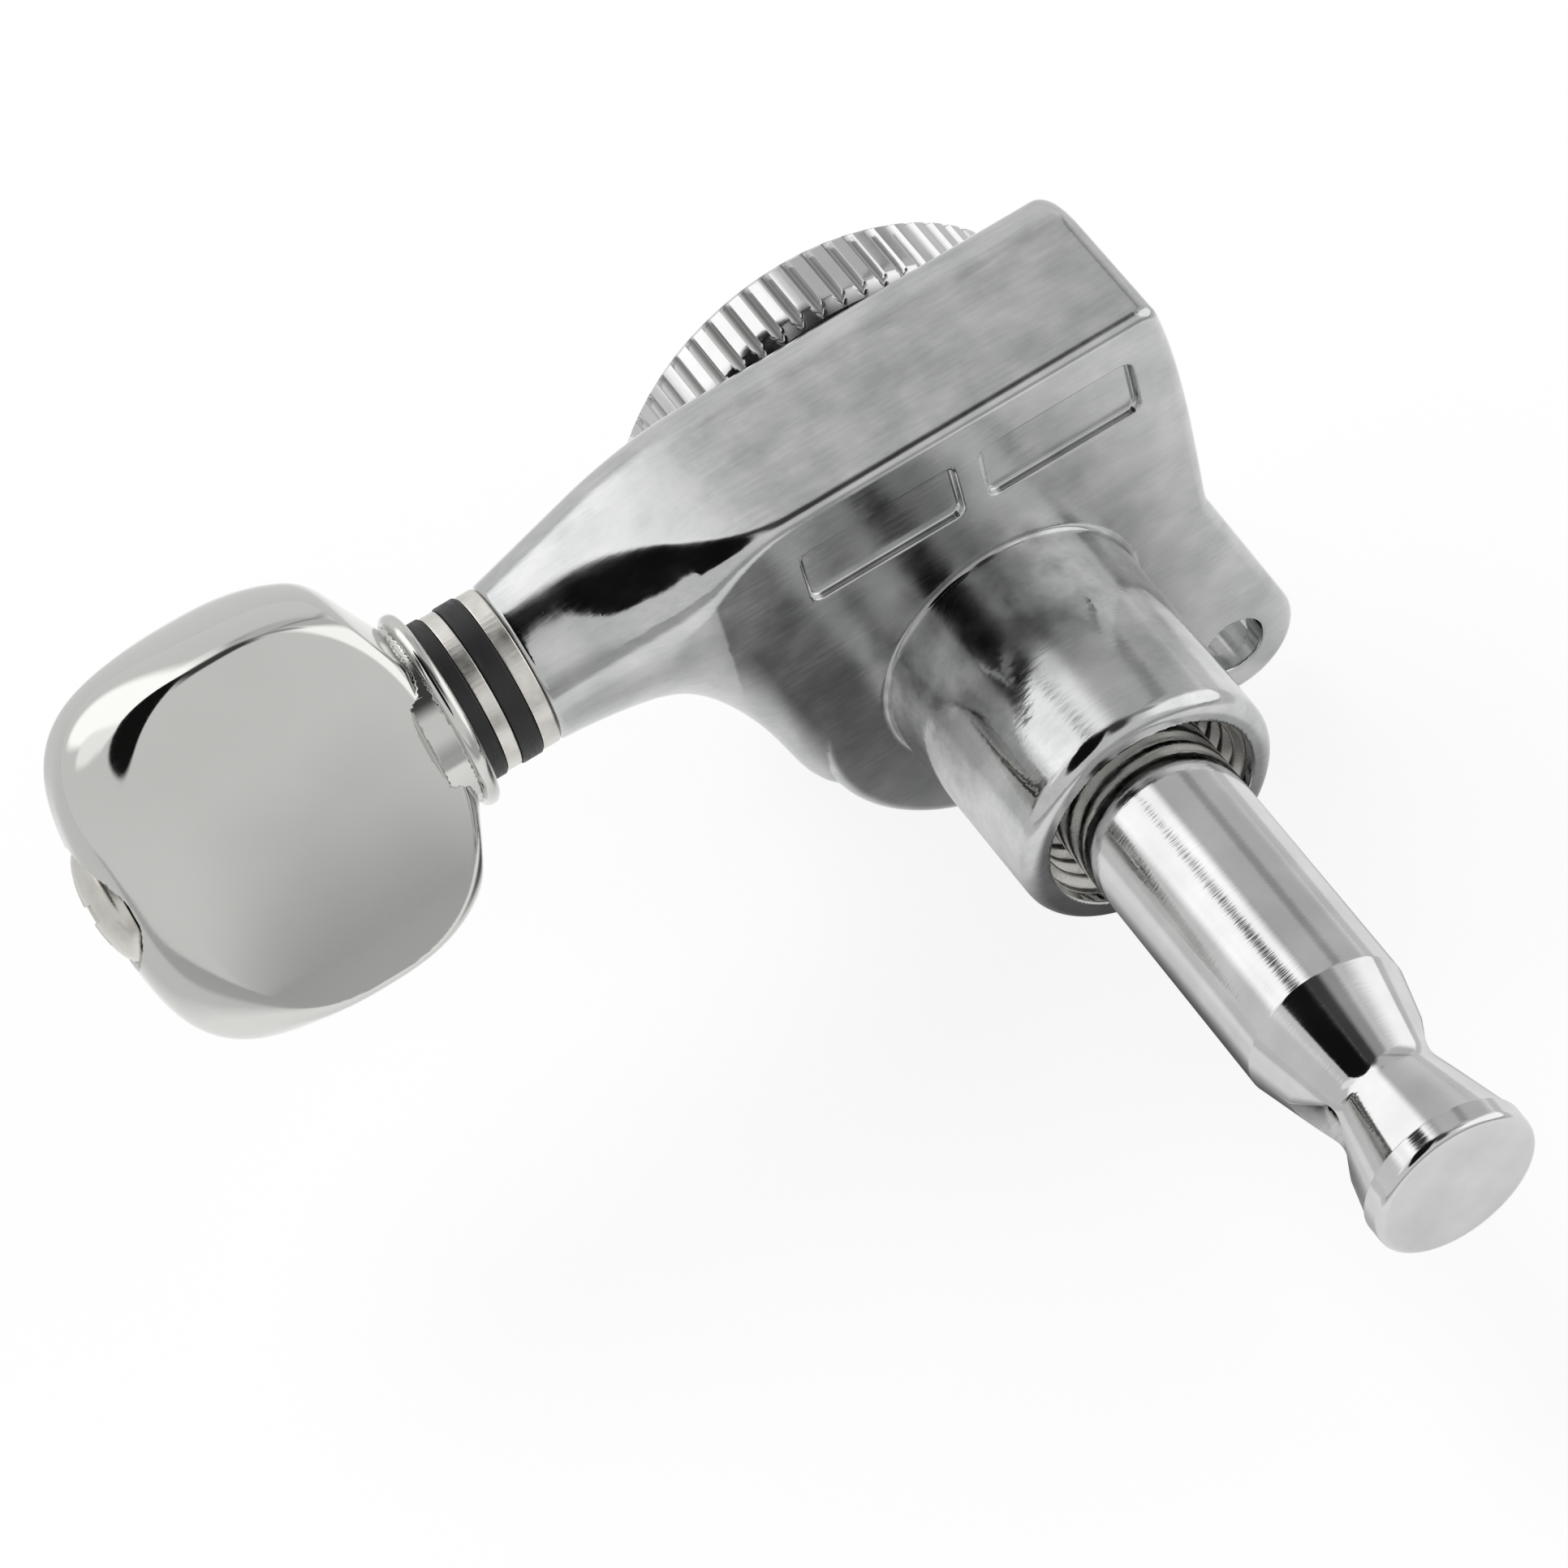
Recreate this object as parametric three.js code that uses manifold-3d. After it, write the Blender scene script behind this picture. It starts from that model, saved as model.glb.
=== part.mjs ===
// A guitar tuning machine with a rear lock: a die-cast housing that sits behind the headstock, a hollow string
// post that stands through it, a worm and worm wheel between the button and the post, and a thumbwheel at the
// back that drives a pin down the post onto the string.
// Millimetres. The origin is on the post's axis in the face that meets the headstock. The post points to -Y,
// the shaft of the button lies along X with the button at -X, and +Z is the side where the shaft runs.
import * as THREE from "three";
import { mergeVertices } from "three/addons/utils/BufferGeometryUtils.js";
import Module from "manifold-3d";

const wasm = await Module();
wasm.setup();

// Clearances.
const RUNNING_GAP = 0.06; // a turning piece in its bearing
const SEAT_GAP = 0.03; // a piece keyed, pressed or screwed onto another
const SLACK = 0.1; // the wheel in its chamber, and pieces that never touch
const OVERRUN = 1; // how far a cutter passes the face that it opens
const MERGE = 1e-4; // vertices closer than this are one

// Worm and wheel: one thread against eighteen teeth.
const MODULE = 0.7;
const TEETH = 18;
const WORM_PITCH_RADIUS = 1.9;
const ADDENDUM = 0.5;
const DEDENDUM = 0.65;
const BACKLASH = 0.2; // play of a tooth in its space, half on each side
const PRESSURE_ANGLE = THREE.MathUtils.degToRad(20);
const WHEEL_PITCH_RADIUS = (MODULE * TEETH) / 2;
const WHEEL_OUTER_RADIUS = WHEEL_PITCH_RADIUS + ADDENDUM;
const WHEEL_ROOT_RADIUS = WHEEL_PITCH_RADIUS - DEDENDUM;
const WORM_OUTER_RADIUS = WORM_PITCH_RADIUS + ADDENDUM;
const WORM_ROOT_RADIUS = WORM_PITCH_RADIUS - DEDENDUM;
const LEAD = Math.PI * MODULE;
const WORM_TURNS = 4;

// The shaft's axis runs along X, one centre distance above the post.
const SHAFT_HEIGHT = WHEEL_PITCH_RADIUS + WORM_PITCH_RADIUS;

// Housing: a plate body round the post, a neck round the shaft, a barrel round the post and one screw ear.
const BODY_DEPTH = 7.7;
const BODY_RADIUS = 7.95;
const BODY_OFFSET = 0.3; // the body's round end stands this far to +X of the post
const BODY_TOP = 11.95;
const BODY_TOP_HALF = 7.98; // from the post to the upper corner at +X
const BODY_SWELL = 0.12; // the +X side swells this far past the round end
const BODY_CORNER = 0.1; // round of the drawn upper corner, before the back rounding is added
const BACK_ROUND = 0.5;
const TOP_BACK_DEEP = 2.75; // the upper back corner is an arc this deep
const TOP_BACK_DROP = 1.85; // and this high
const FRONT_WALL = 1.3;
const FRONT_ROUND = 0.25;
const NECK_RADIUS = 2.9;
const NECK_END = 15.7; // from the post to the neck's face
const FLARE_START = 6.6; // where the neck's flare leaves the body
const FLARE_DROP = 8.6; // how far the flare comes down from the neck to the body
const BARREL_RADIUS = 5;
const BARREL_MOUTH_RADIUS = 4.9; // the outside has a little draft
const BARREL_LENGTH = 9;
const BARREL_BORE = 3.95;
const BARREL_FLOOR = 1.2; // the bore ends this far in front of the plate
const BARREL_ROUND = 0.6;
const BARREL_CHAMFER = 0.12;
const EAR_RADIUS = 2.55;
const EAR_THICKNESS = 2.2;
const EAR_X = 7.95;
const EAR_Z = -7;
const EAR_HOLE_RADIUS = 1.2;
const PANEL_WIDTH = 5.95;
const PANEL_HEIGHT = 2.5;
const PANEL_WEB = 1;
const PANEL_SHIFT = 0.12; // the pair of panels stands this far to +X
const PANEL_DEPTH = 0.3;
const PANEL_CORNER = 0.4;
const PANEL_FROM_TOP = 1.85;
const CHAMBER_RADIUS = WHEEL_OUTER_RADIUS + SLACK;
const SHAFT_BORE = WORM_OUTER_RADIUS + SLACK;
const SHAFT_BORE_END = 7; // the bore's blind end, from the post

// Cover: a turned cap pressed into the chamber's mouth, flush with the back, that carries the post's tail.
const COVER_STEP = 0.2; // the mouth is this much wider than the chamber
const COVER_THICKNESS = 0.8;
const COVER_ROUND = 0.2;
const HUB_RADIUS = 4.4;
const HUB_HEIGHT = 1.2; // from the housing's back face

// Post, measured from the front face to its tip.
const POST_RADIUS = 3;
const POST_LENGTH = 27.22;
const POST_CONE = 19.6;
const POST_WAIST = 23.1;
const POST_WAIST_RADIUS = 2.12;
const POST_TIP_RADIUS = 3;
const POST_TIP_BAND = 0.9;
const POST_TIP_ROUND = 0.28;
const POST_TIP_LEDGE = 0.07;
const STRING_HOLE_RADIUS = 0.9;
const STRING_HOLE_FLARE = 0.45;
const SEAT_RADIUS = 2.4;
const SEAT_FLAT = 1.9; // half the width across the flats
const TAIL_RADIUS = 2.2;
const TAIL_INSET = 0.2; // the tail ends this far inside the cover's hub

// Lock: pin, stud and thumbwheel.
const LOCK_PITCH = 0.5;
const LOCK_TURNS = 3.5;
const LOCK_TRAVEL = LOCK_PITCH * LOCK_TURNS;
const PIN_RADIUS = 0.9;
const PIN_REST = 0.05; // the open pin stands back from the string hole by this much
const STUD_RADIUS = 1.5;
const STUD_DEPTH = 4.2; // how far the stud reaches into the tail
const STUD_DOME = 0.35;
const THUMB_RADIUS = 8.6;
const THUMB_GAP = 2.05; // from the housing's back to the open thumbwheel
const THUMB_THICKNESS = 3.1;
const THUMB_RIBS = 64;
const THUMB_RIB_DEPTH = 0.28;
const THUMB_BACK_CHAMFER = 0.35;
const THUMB_FRONT_CHAMFER = 0.4;
const THUMB_DISH_RADIUS = 6.6;
const THUMB_DISH_DEPTH = 0.3;

// Inner fittings of the post.
const THRUST_RADIUS = 4.4;
const THRUST_THICKNESS = 0.58;
const SPRING_WASHER_THICKNESS = 0.35;
const NUT_RADIUS = 3.6;
const NUT_THICKNESS = 0.8;
const NUT_SLOT = 0.8;
const NUT_GAP = 0.21; // free of the cover
const STACK_GAP = 0.02; // between faces that bear on each other

// Shaft and its bushes.
const SHAFT_RADIUS = 1.7;
const SHAFT_FLAT = 1.3; // half the width across the flats that drive the button
const SHAFT_TIP_RADIUS = 1.1;
const SHAFT_FLANGE_RADIUS = 2.3;
const SHAFT_FLANGE = 0.6;
const SHAFT_THRUST_WASHER = 0.4;
const END_BUSH_LENGTH = 1.6;
const NECK_BUSH_LENGTH = 4;
const END_WALL = 3.2; // of the button, between the shaft's socket and the screw's head

// Washers between neck and button, from the neck outwards.
const WASHER_RADIUS = 2.9;
const INNER_METAL_THICKNESS = 0.68;
const INNER_BLACK_THICKNESS = 0.79;
const OUTER_METAL_THICKNESS = 0.585;
const OUTER_BLACK_THICKNESS = 0.6;
const BLACK_OVERSIZE = 0.05;

// Button: a pillow with two domed faces on a turned collar. A face is an ellipse, the rim a rounded square.
const FACE_SHIFT = 0.37; // the face's middle stands this much nearer to the post than the rim's
const FACE_HALF_LENGTH = 5.5;
const FACE_HALF_WIDTH = 6.4;
const RIM_OVERLAP = 0.545; // the rim would reach this far into the collar, if it weren't turned
const RIM_HALF_LENGTH = 6.48;
const RIM_HALF_WIDTH = 6.85;
const RIM_CORNER_POWER = 3.2;
const RIM_SECTION_POWER = 1.5;
const RIM_TAPER = 0.06; // narrower towards the collar by this share
const BUTTON_EDGE_HALF = 2.8; // half the thickness at the faces' edge
const BUTTON_DOME = 0.65; // a face rises this much to its middle
const BUTTON_TURN = THREE.MathUtils.degToRad(32.7);
const COLLAR_RADIUS = 3.6;
const COLLAR_LENGTH = 0.8;
const COLLAR_GROOVE = 0.25;
const COLLAR_ROUND = 0.2;
const SCREW_HEAD_RADIUS = 2.2;
const SCREW_HEAD_HEIGHT = 1.1;
const SCREW_HEAD_EDGE = 0.25;
const SCREW_RADIUS = 0.9;
const SCREW_LENGTH = 6;
const RECESS_WIDTH = 0.5;
const RECESS_SPAN = 2.3;
const RECESS_DEPTH = 0.8;
const HEAD_SINK = 0.5; // the head stands in a spot face this deep

// Facets round each kind of circle.
const FINE = 48;
const MEDIUM = 32;
const COARSE = 16;

// Places worked out along the shaft, all at -X of the post.
const INNER_BLACK_START = NECK_END + INNER_METAL_THICKNESS;
const OUTER_METAL_START = INNER_BLACK_START + INNER_BLACK_THICKNESS;
const OUTER_BLACK_START = OUTER_METAL_START + OUTER_METAL_THICKNESS;
const COLLAR_FACE = OUTER_BLACK_START + OUTER_BLACK_THICKNESS;
const BUTTON_INNER = COLLAR_FACE + COLLAR_LENGTH;
const RIM_MIDDLE = BUTTON_INNER + RIM_HALF_LENGTH - RIM_OVERLAP;
const FACE_MIDDLE = RIM_MIDDLE - FACE_SHIFT;
const BUTTON_OUTER = RIM_MIDDLE + RIM_HALF_LENGTH;
const SOCKET_END = BUTTON_OUTER - HEAD_SINK - END_WALL;

// Places worked out along the post.
const THRUST_FRONT = FRONT_WALL + STACK_GAP;
const THRUST_BACK = THRUST_FRONT + THRUST_THICKNESS;
const COVER_FRONT = BODY_DEPTH - COVER_THICKNESS + STACK_GAP;
const NUT_BACK = COVER_FRONT - NUT_GAP;
const NUT_FRONT = NUT_BACK - NUT_THICKNESS;
const SPRING_FRONT = NUT_FRONT - STACK_GAP - SPRING_WASHER_THICKNESS;
const WHEEL_FRONT = THRUST_BACK + STACK_GAP;
const WHEEL_BACK = SPRING_FRONT - STACK_GAP;
const SHAFT_DEPTH = (WHEEL_FRONT + WHEEL_BACK) / 2;
const HUB_BACK = BODY_DEPTH + HUB_HEIGHT;
const TAIL_END = HUB_BACK - TAIL_INSET;
const STUD_TIP = TAIL_END - STUD_DEPTH;
const PIN_TIP = -POST_WAIST + STRING_HOLE_RADIUS + PIN_REST;
const THUMB_FRONT = BODY_DEPTH + THUMB_GAP;
const THUMB_BACK = THUMB_FRONT + THUMB_THICKNESS;
const PIN_BORE = PIN_RADIUS + RUNNING_GAP;
const STUD_BORE = STUD_RADIUS + RUNNING_GAP;
const STUD_BORE_END = STUD_TIP - LOCK_TRAVEL - SLACK;

// Turns vertices and triangles into a solid with its faces outwards.
function solidOf(geometry) {
  const bare = geometry.clone();
  bare.deleteAttribute("normal");
  bare.deleteAttribute("uv");
  const merged = mergeVertices(bare, MERGE);
  const vertProperties = new Float32Array(merged.attributes.position.array);
  const corners = merged.index.array;
  const triangles = Array.from({ length: corners.length / 3 }, (_, i) => corners.slice(3 * i, 3 * i + 3));
  const whole = triangles.filter(([a, b, c]) => a !== b && b !== c && c !== a);
  const triVerts = new Uint32Array(whole.flatMap((triangle) => [...triangle]));
  const make = () => new wasm.Manifold(new wasm.Mesh({ numProp: 3, vertProperties, triVerts }));
  const made = make();
  if (made.volume() > 0) return made;
  for (let i = 0; i < triVerts.length; i += 3) {
    [triVerts[i + 1], triVerts[i + 2]] = [triVerts[i + 2], triVerts[i + 1]];
  }
  return make();
}

// The geometry of a solid that was joined or cut.
function geometryOf(solid) {
  const { vertProperties, triVerts } = solid.getMesh();
  const geometry = new THREE.BufferGeometry();
  geometry.setAttribute("position", new THREE.BufferAttribute(vertProperties, 3));
  geometry.setIndex(new THREE.BufferAttribute(triVerts, 1));
  geometry.computeVertexNormals();
  return geometry;
}

// A solid of revolution about the post's axis from [radius, y] points.
function turnedOnPost(profile, segments) {
  const points = profile.map(([radius, along]) => new THREE.Vector2(radius, along));
  return solidOf(new THREE.LatheGeometry(points, segments));
}

// A solid of revolution about the shaft's axis from [radius, x] points.
function turnedOnShaft(profile, segments) {
  const points = profile.map(([radius, along]) => new THREE.Vector2(radius, along));
  const geometry = new THREE.LatheGeometry(points, segments);
  geometry.rotateZ(-Math.PI / 2);
  geometry.translate(0, SHAFT_DEPTH, SHAFT_HEIGHT);
  return solidOf(geometry);
}

// A plain round bar from one place to another.
function roundBar(turn, radius, from, to, segments) {
  return turn([[0, from], [radius, from], [radius, to], [0, to]], segments);
}

// A tube with flat ends.
function tube(turn, inner, outer, from, to, segments) {
  return turn([[inner, from], [outer, from], [outer, to], [inner, to], [inner, from]], segments);
}

// The same outline as a plain polygon, without points that fall on their neighbour.
function polygon(shape, curveSegments) {
  const points = shape.getPoints(curveSegments);
  const kept = points.filter((point, i) => {
    return point.distanceTo(points[(i + 1) % points.length]) > MERGE;
  });
  return new THREE.Shape(kept);
}

// An outline in X and Z, extruded from one depth to another.
function plate(shape, front, back, options = {}) {
  const { curveSegments = COARSE / 2, ...bevel } = options;
  const geometry = new THREE.ExtrudeGeometry(polygon(shape, curveSegments), {
    depth: back - front, bevelEnabled: false, ...bevel,
  });
  geometry.rotateX(Math.PI / 2);
  geometry.translate(0, back, 0);
  return solidOf(geometry);
}

// A block between two corners.
function block(low, high) {
  const size = high.clone().sub(low);
  const geometry = new THREE.BoxGeometry(size.x, size.y, size.z);
  const middle = low.clone().add(high).multiplyScalar(1 / 2);
  geometry.translate(middle.x, middle.y, middle.z);
  return solidOf(geometry);
}

// A skin through closed sections that all have as many points. Both ends are closed to their middle.
function lofted(sections) {
  const count = sections[0].length;
  const middleOf = (section) => {
    const sum = section.reduce((total, point) => total.add(point), new THREE.Vector3());
    return sum.divideScalar(count);
  };
  const last = sections.length - 1;
  const points = [...sections.flat(), middleOf(sections[0]), middleOf(sections[last])];
  const firstMiddle = points.length - 2;
  const lastMiddle = points.length - 1;
  const index = [];
  for (let i = 0; i < count; i++) {
    const next = (i + 1) % count;
    for (let ring = 0; ring < last; ring++) {
      const a = ring * count + i;
      const b = ring * count + next;
      index.push(a, b, a + count, b, b + count, a + count);
    }
    index.push(i, firstMiddle, next, last * count + i, last * count + next, lastMiddle);
  }
  const geometry = new THREE.BufferGeometry();
  const positions = points.flatMap((point) => [point.x, point.y, point.z]);
  geometry.setAttribute("position", new THREE.BufferAttribute(new Float32Array(positions), 3));
  geometry.setIndex(index);
  return solidOf(geometry);
}

// The body's outline: a round end about the post, a flat top and a slightly swollen +X side. It is drawn
// smaller by the back rounding, which the bevel then gives back.
function bodyOutline() {
  const shape = new THREE.Shape();
  const radius = BODY_RADIUS - BACK_ROUND;
  const top = BODY_TOP - BACK_ROUND;
  const half = BODY_TOP_HALF - BACK_ROUND;
  const side = BODY_OFFSET + radius;
  const shoulderShare = 0.3;
  const controlShare = 0.7;
  shape.absarc(BODY_OFFSET, 0, radius, Math.PI, 2 * Math.PI, false);
  shape.lineTo(side, BODY_TOP * shoulderShare);
  shape.quadraticCurveTo(side + BODY_SWELL, BODY_TOP * controlShare, half, top - BODY_CORNER);
  shape.absarc(half - BODY_CORNER, top - BODY_CORNER, BODY_CORNER, 0, Math.PI / 2, false);
  shape.lineTo(-half, top);
  shape.closePath();
  return shape;
}

// The body's section in Y and Z, whose upper back corner is well rounded; it trims the extruded outline.
function bodyTrim() {
  const shape = new THREE.Shape();
  const bottom = -BODY_RADIUS - OVERRUN;
  shape.moveTo(0, bottom);
  shape.lineTo(BODY_DEPTH, bottom);
  shape.lineTo(BODY_DEPTH, BODY_TOP - TOP_BACK_DROP);
  shape.absellipse(
    BODY_DEPTH - TOP_BACK_DEEP, BODY_TOP - TOP_BACK_DROP, TOP_BACK_DEEP, TOP_BACK_DROP, 0, Math.PI / 2, false);
  shape.lineTo(FRONT_ROUND, BODY_TOP);
  shape.absarc(FRONT_ROUND, BODY_TOP - FRONT_ROUND, FRONT_ROUND, Math.PI / 2, Math.PI, false);
  shape.closePath();
  const reach = BODY_RADIUS + BODY_OFFSET + OVERRUN;
  const geometry = new THREE.ExtrudeGeometry(polygon(shape, COARSE / 4), {
    depth: 2 * reach, bevelEnabled: false,
  });
  // The drawing's x becomes Y, its y becomes Z and its depth runs along X.
  geometry.applyMatrix4(new THREE.Matrix4().makeBasis(
    new THREE.Vector3(0, 1, 0), new THREE.Vector3(0, 0, 1), new THREE.Vector3(1, 0, 0)));
  geometry.translate(-reach, 0, 0);
  return solidOf(geometry);
}

// One station of the neck: a rectangle in Y and Z with four round corners, whose rounds are given as their
// depth along Y and their height along Z.
function neckStation(x, low, high, rounds) {
  const { backTop, front, backBottom } = rounds;
  const corners = [
    [high.y - backTop.x, high.z - backTop.y, backTop, 0],
    [low.y + front.x, high.z - front.y, front, Math.PI / 2],
    [low.y + front.x, low.z + front.y, front, Math.PI],
    [high.y - backBottom.x, low.z + backBottom.y, backBottom, 1.5 * Math.PI],
  ];
  const steps = 6;
  return corners.flatMap(([y, z, round, start]) => {
    return Array.from({ length: steps + 1 }, (_, i) => {
      const angle = start + (i / steps) * (Math.PI / 2);
      return new THREE.Vector3(x, y + round.x * Math.cos(angle), z + round.y * Math.sin(angle));
    });
  });
}

// The neck flares from a round end into the body. Each row: how far along, how far dropped, how round.
const NECK_SHARES = [
  [0, 0, 1],
  [0.165, 0.006, 0.93],
  [0.319, 0.02, 0.8],
  [0.436, 0.03, 0.62],
  [0.521, 0.057, 0.45],
  [0.6, 0.13, 0.31],
  [0.671, 0.252, 0.2],
  [0.737, 0.42, 0.13],
  [0.777, 0.559, 0.1],
  [0.818, 0.708, 0.09],
  [0.888, 0.86, 0.09],
  [0.934, 0.919, 0.09],
  [1, 1, 0.09],
];

function neck() {
  const neckBottom = SHAFT_HEIGHT - NECK_RADIUS;
  const neckTop = SHAFT_HEIGHT + NECK_RADIUS;
  const neckFront = SHAFT_DEPTH - NECK_RADIUS;
  const neckBack = SHAFT_DEPTH + NECK_RADIUS;
  const risingShare = 0.75; // the top and the back reach the body here
  const frontShare = 0.2; // the front is flush with the seat face at this roundness
  const round = new THREE.Vector2(NECK_RADIUS, NECK_RADIUS);
  const topBack = new THREE.Vector2(TOP_BACK_DEEP, TOP_BACK_DROP);
  const bottomBack = new THREE.Vector2(BACK_ROUND, BACK_ROUND);
  const sections = NECK_SHARES.map(([along, drop, roundness]) => {
    const rise = Math.min(1, along / risingShare);
    const setBack = Math.max(0, (roundness - frontShare) / (1 - frontShare));
    const x = THREE.MathUtils.lerp(-NECK_END, -FLARE_START, along);
    const low = new THREE.Vector3(x, neckFront * setBack, neckBottom - FLARE_DROP * drop);
    const high = new THREE.Vector3(
      x, THREE.MathUtils.lerp(neckBack, BODY_DEPTH, rise), THREE.MathUtils.lerp(neckTop, BODY_TOP, rise));
    return neckStation(x, low, high, {
      backTop: round.clone().lerp(topBack, rise),
      front: round.clone().multiplyScalar(roundness),
      backBottom: bottomBack.clone().lerp(round, roundness),
    });
  });
  return lofted(sections);
}

// The screw ear: a thin tab that runs tangent from the body to its round end.
function ear() {
  const shape = new THREE.Shape();
  const distance = Math.hypot(EAR_X - BODY_OFFSET, EAR_Z);
  const heading = Math.atan2(EAR_Z, EAR_X - BODY_OFFSET);
  const spread = Math.acos((BODY_RADIUS - EAR_RADIUS) / distance);
  const start = heading - spread;
  const end = heading + spread;
  shape.moveTo(BODY_OFFSET + BODY_RADIUS * Math.cos(start), BODY_RADIUS * Math.sin(start));
  shape.absarc(EAR_X, EAR_Z, EAR_RADIUS, start, end, false);
  shape.lineTo(BODY_OFFSET + BODY_RADIUS * Math.cos(end), BODY_RADIUS * Math.sin(end));
  shape.lineTo(BODY_OFFSET, 0);
  shape.closePath();
  return plate(shape, 0, EAR_THICKNESS);
}

function earHole() {
  const shape = new THREE.Shape();
  shape.absarc(EAR_X, EAR_Z, EAR_HOLE_RADIUS, 0, 2 * Math.PI, false);
  return plate(shape, -OVERRUN, EAR_THICKNESS + OVERRUN);
}

// A shallow panel with round corners, cut into the seat face.
function panel(left) {
  const bottom = BODY_TOP - PANEL_FROM_TOP - PANEL_HEIGHT;
  const right = left + PANEL_WIDTH;
  const top = bottom + PANEL_HEIGHT;
  const shape = new THREE.Shape();
  shape.moveTo(left + PANEL_CORNER, bottom);
  shape.lineTo(right - PANEL_CORNER, bottom);
  shape.absarc(right - PANEL_CORNER, bottom + PANEL_CORNER, PANEL_CORNER, -Math.PI / 2, 0, false);
  shape.absarc(right - PANEL_CORNER, top - PANEL_CORNER, PANEL_CORNER, 0, Math.PI / 2, false);
  shape.absarc(left + PANEL_CORNER, top - PANEL_CORNER, PANEL_CORNER, Math.PI / 2, Math.PI, false);
  shape.absarc(left + PANEL_CORNER, bottom + PANEL_CORNER, PANEL_CORNER, Math.PI, 1.5 * Math.PI, false);
  shape.closePath();
  return plate(shape, -OVERRUN, PANEL_DEPTH, { curveSegments: 4 });
}

function barrel() {
  const steps = 5;
  const rim = Array.from({ length: steps + 1 }, (_, i) => {
    const angle = ((i / steps) * Math.PI) / 2;
    return [
      BARREL_MOUTH_RADIUS - BARREL_ROUND + BARREL_ROUND * Math.cos(angle),
      -BARREL_LENGTH + BARREL_ROUND - BARREL_ROUND * Math.sin(angle),
    ];
  });
  const inside = FRONT_WALL / 2;
  return turnedOnPost([[0, inside], [BARREL_RADIUS, inside], [BARREL_RADIUS, 0], ...rim, [0, -BARREL_LENGTH]], FINE);
}

function barrelBore() {
  const mouth = -BARREL_LENGTH;
  return turnedOnPost([
    [0, -BARREL_FLOOR],
    [BARREL_BORE, -BARREL_FLOOR],
    [BARREL_BORE, mouth + BARREL_CHAMFER],
    [BARREL_BORE + BARREL_CHAMFER + OVERRUN, mouth - OVERRUN],
    [0, mouth - OVERRUN],
  ], FINE);
}

function housing() {
  const outline = plate(bodyOutline(), -BACK_ROUND, BODY_DEPTH - BACK_ROUND, {
    bevelEnabled: true, bevelThickness: BACK_ROUND, bevelSize: BACK_ROUND, bevelSegments: 3,
  });
  const shell = outline.intersect(bodyTrim()).add(neck()).add(ear()).add(barrel());
  const chamber = roundBar(turnedOnPost, CHAMBER_RADIUS, FRONT_WALL, BODY_DEPTH + OVERRUN, FINE);
  const mouth = roundBar(
    turnedOnPost, CHAMBER_RADIUS + COVER_STEP, BODY_DEPTH - COVER_THICKNESS, BODY_DEPTH + OVERRUN, FINE);
  const shaftBore = roundBar(turnedOnShaft, SHAFT_BORE, -NECK_END - OVERRUN, SHAFT_BORE_END, MEDIUM);
  const bearing = roundBar(
    turnedOnPost, POST_RADIUS + RUNNING_GAP, -BARREL_FLOOR - OVERRUN, FRONT_WALL + OVERRUN, MEDIUM);
  const cuts = [
    chamber, mouth, shaftBore, bearing, barrelBore(), earHole(),
    panel(PANEL_SHIFT + PANEL_WEB / 2), panel(PANEL_SHIFT - PANEL_WEB / 2 - PANEL_WIDTH),
  ];
  return cuts.reduce((whole, cut) => whole.subtract(cut), shell);
}

// The cap over the chamber, with a hub round the post's tail.
function backCover() {
  const rim = CHAMBER_RADIUS + COVER_STEP - SEAT_GAP;
  const bore = TAIL_RADIUS + RUNNING_GAP;
  return turnedOnPost([
    [bore, COVER_FRONT],
    [bore, HUB_BACK],
    [HUB_RADIUS - COVER_ROUND, HUB_BACK],
    [HUB_RADIUS, HUB_BACK - COVER_ROUND],
    [HUB_RADIUS, BODY_DEPTH],
    [rim - COVER_ROUND / 2, BODY_DEPTH],
    [rim, BODY_DEPTH - COVER_ROUND / 2],
    [rim, COVER_FRONT],
    [bore, COVER_FRONT],
  ], FINE);
}

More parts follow.
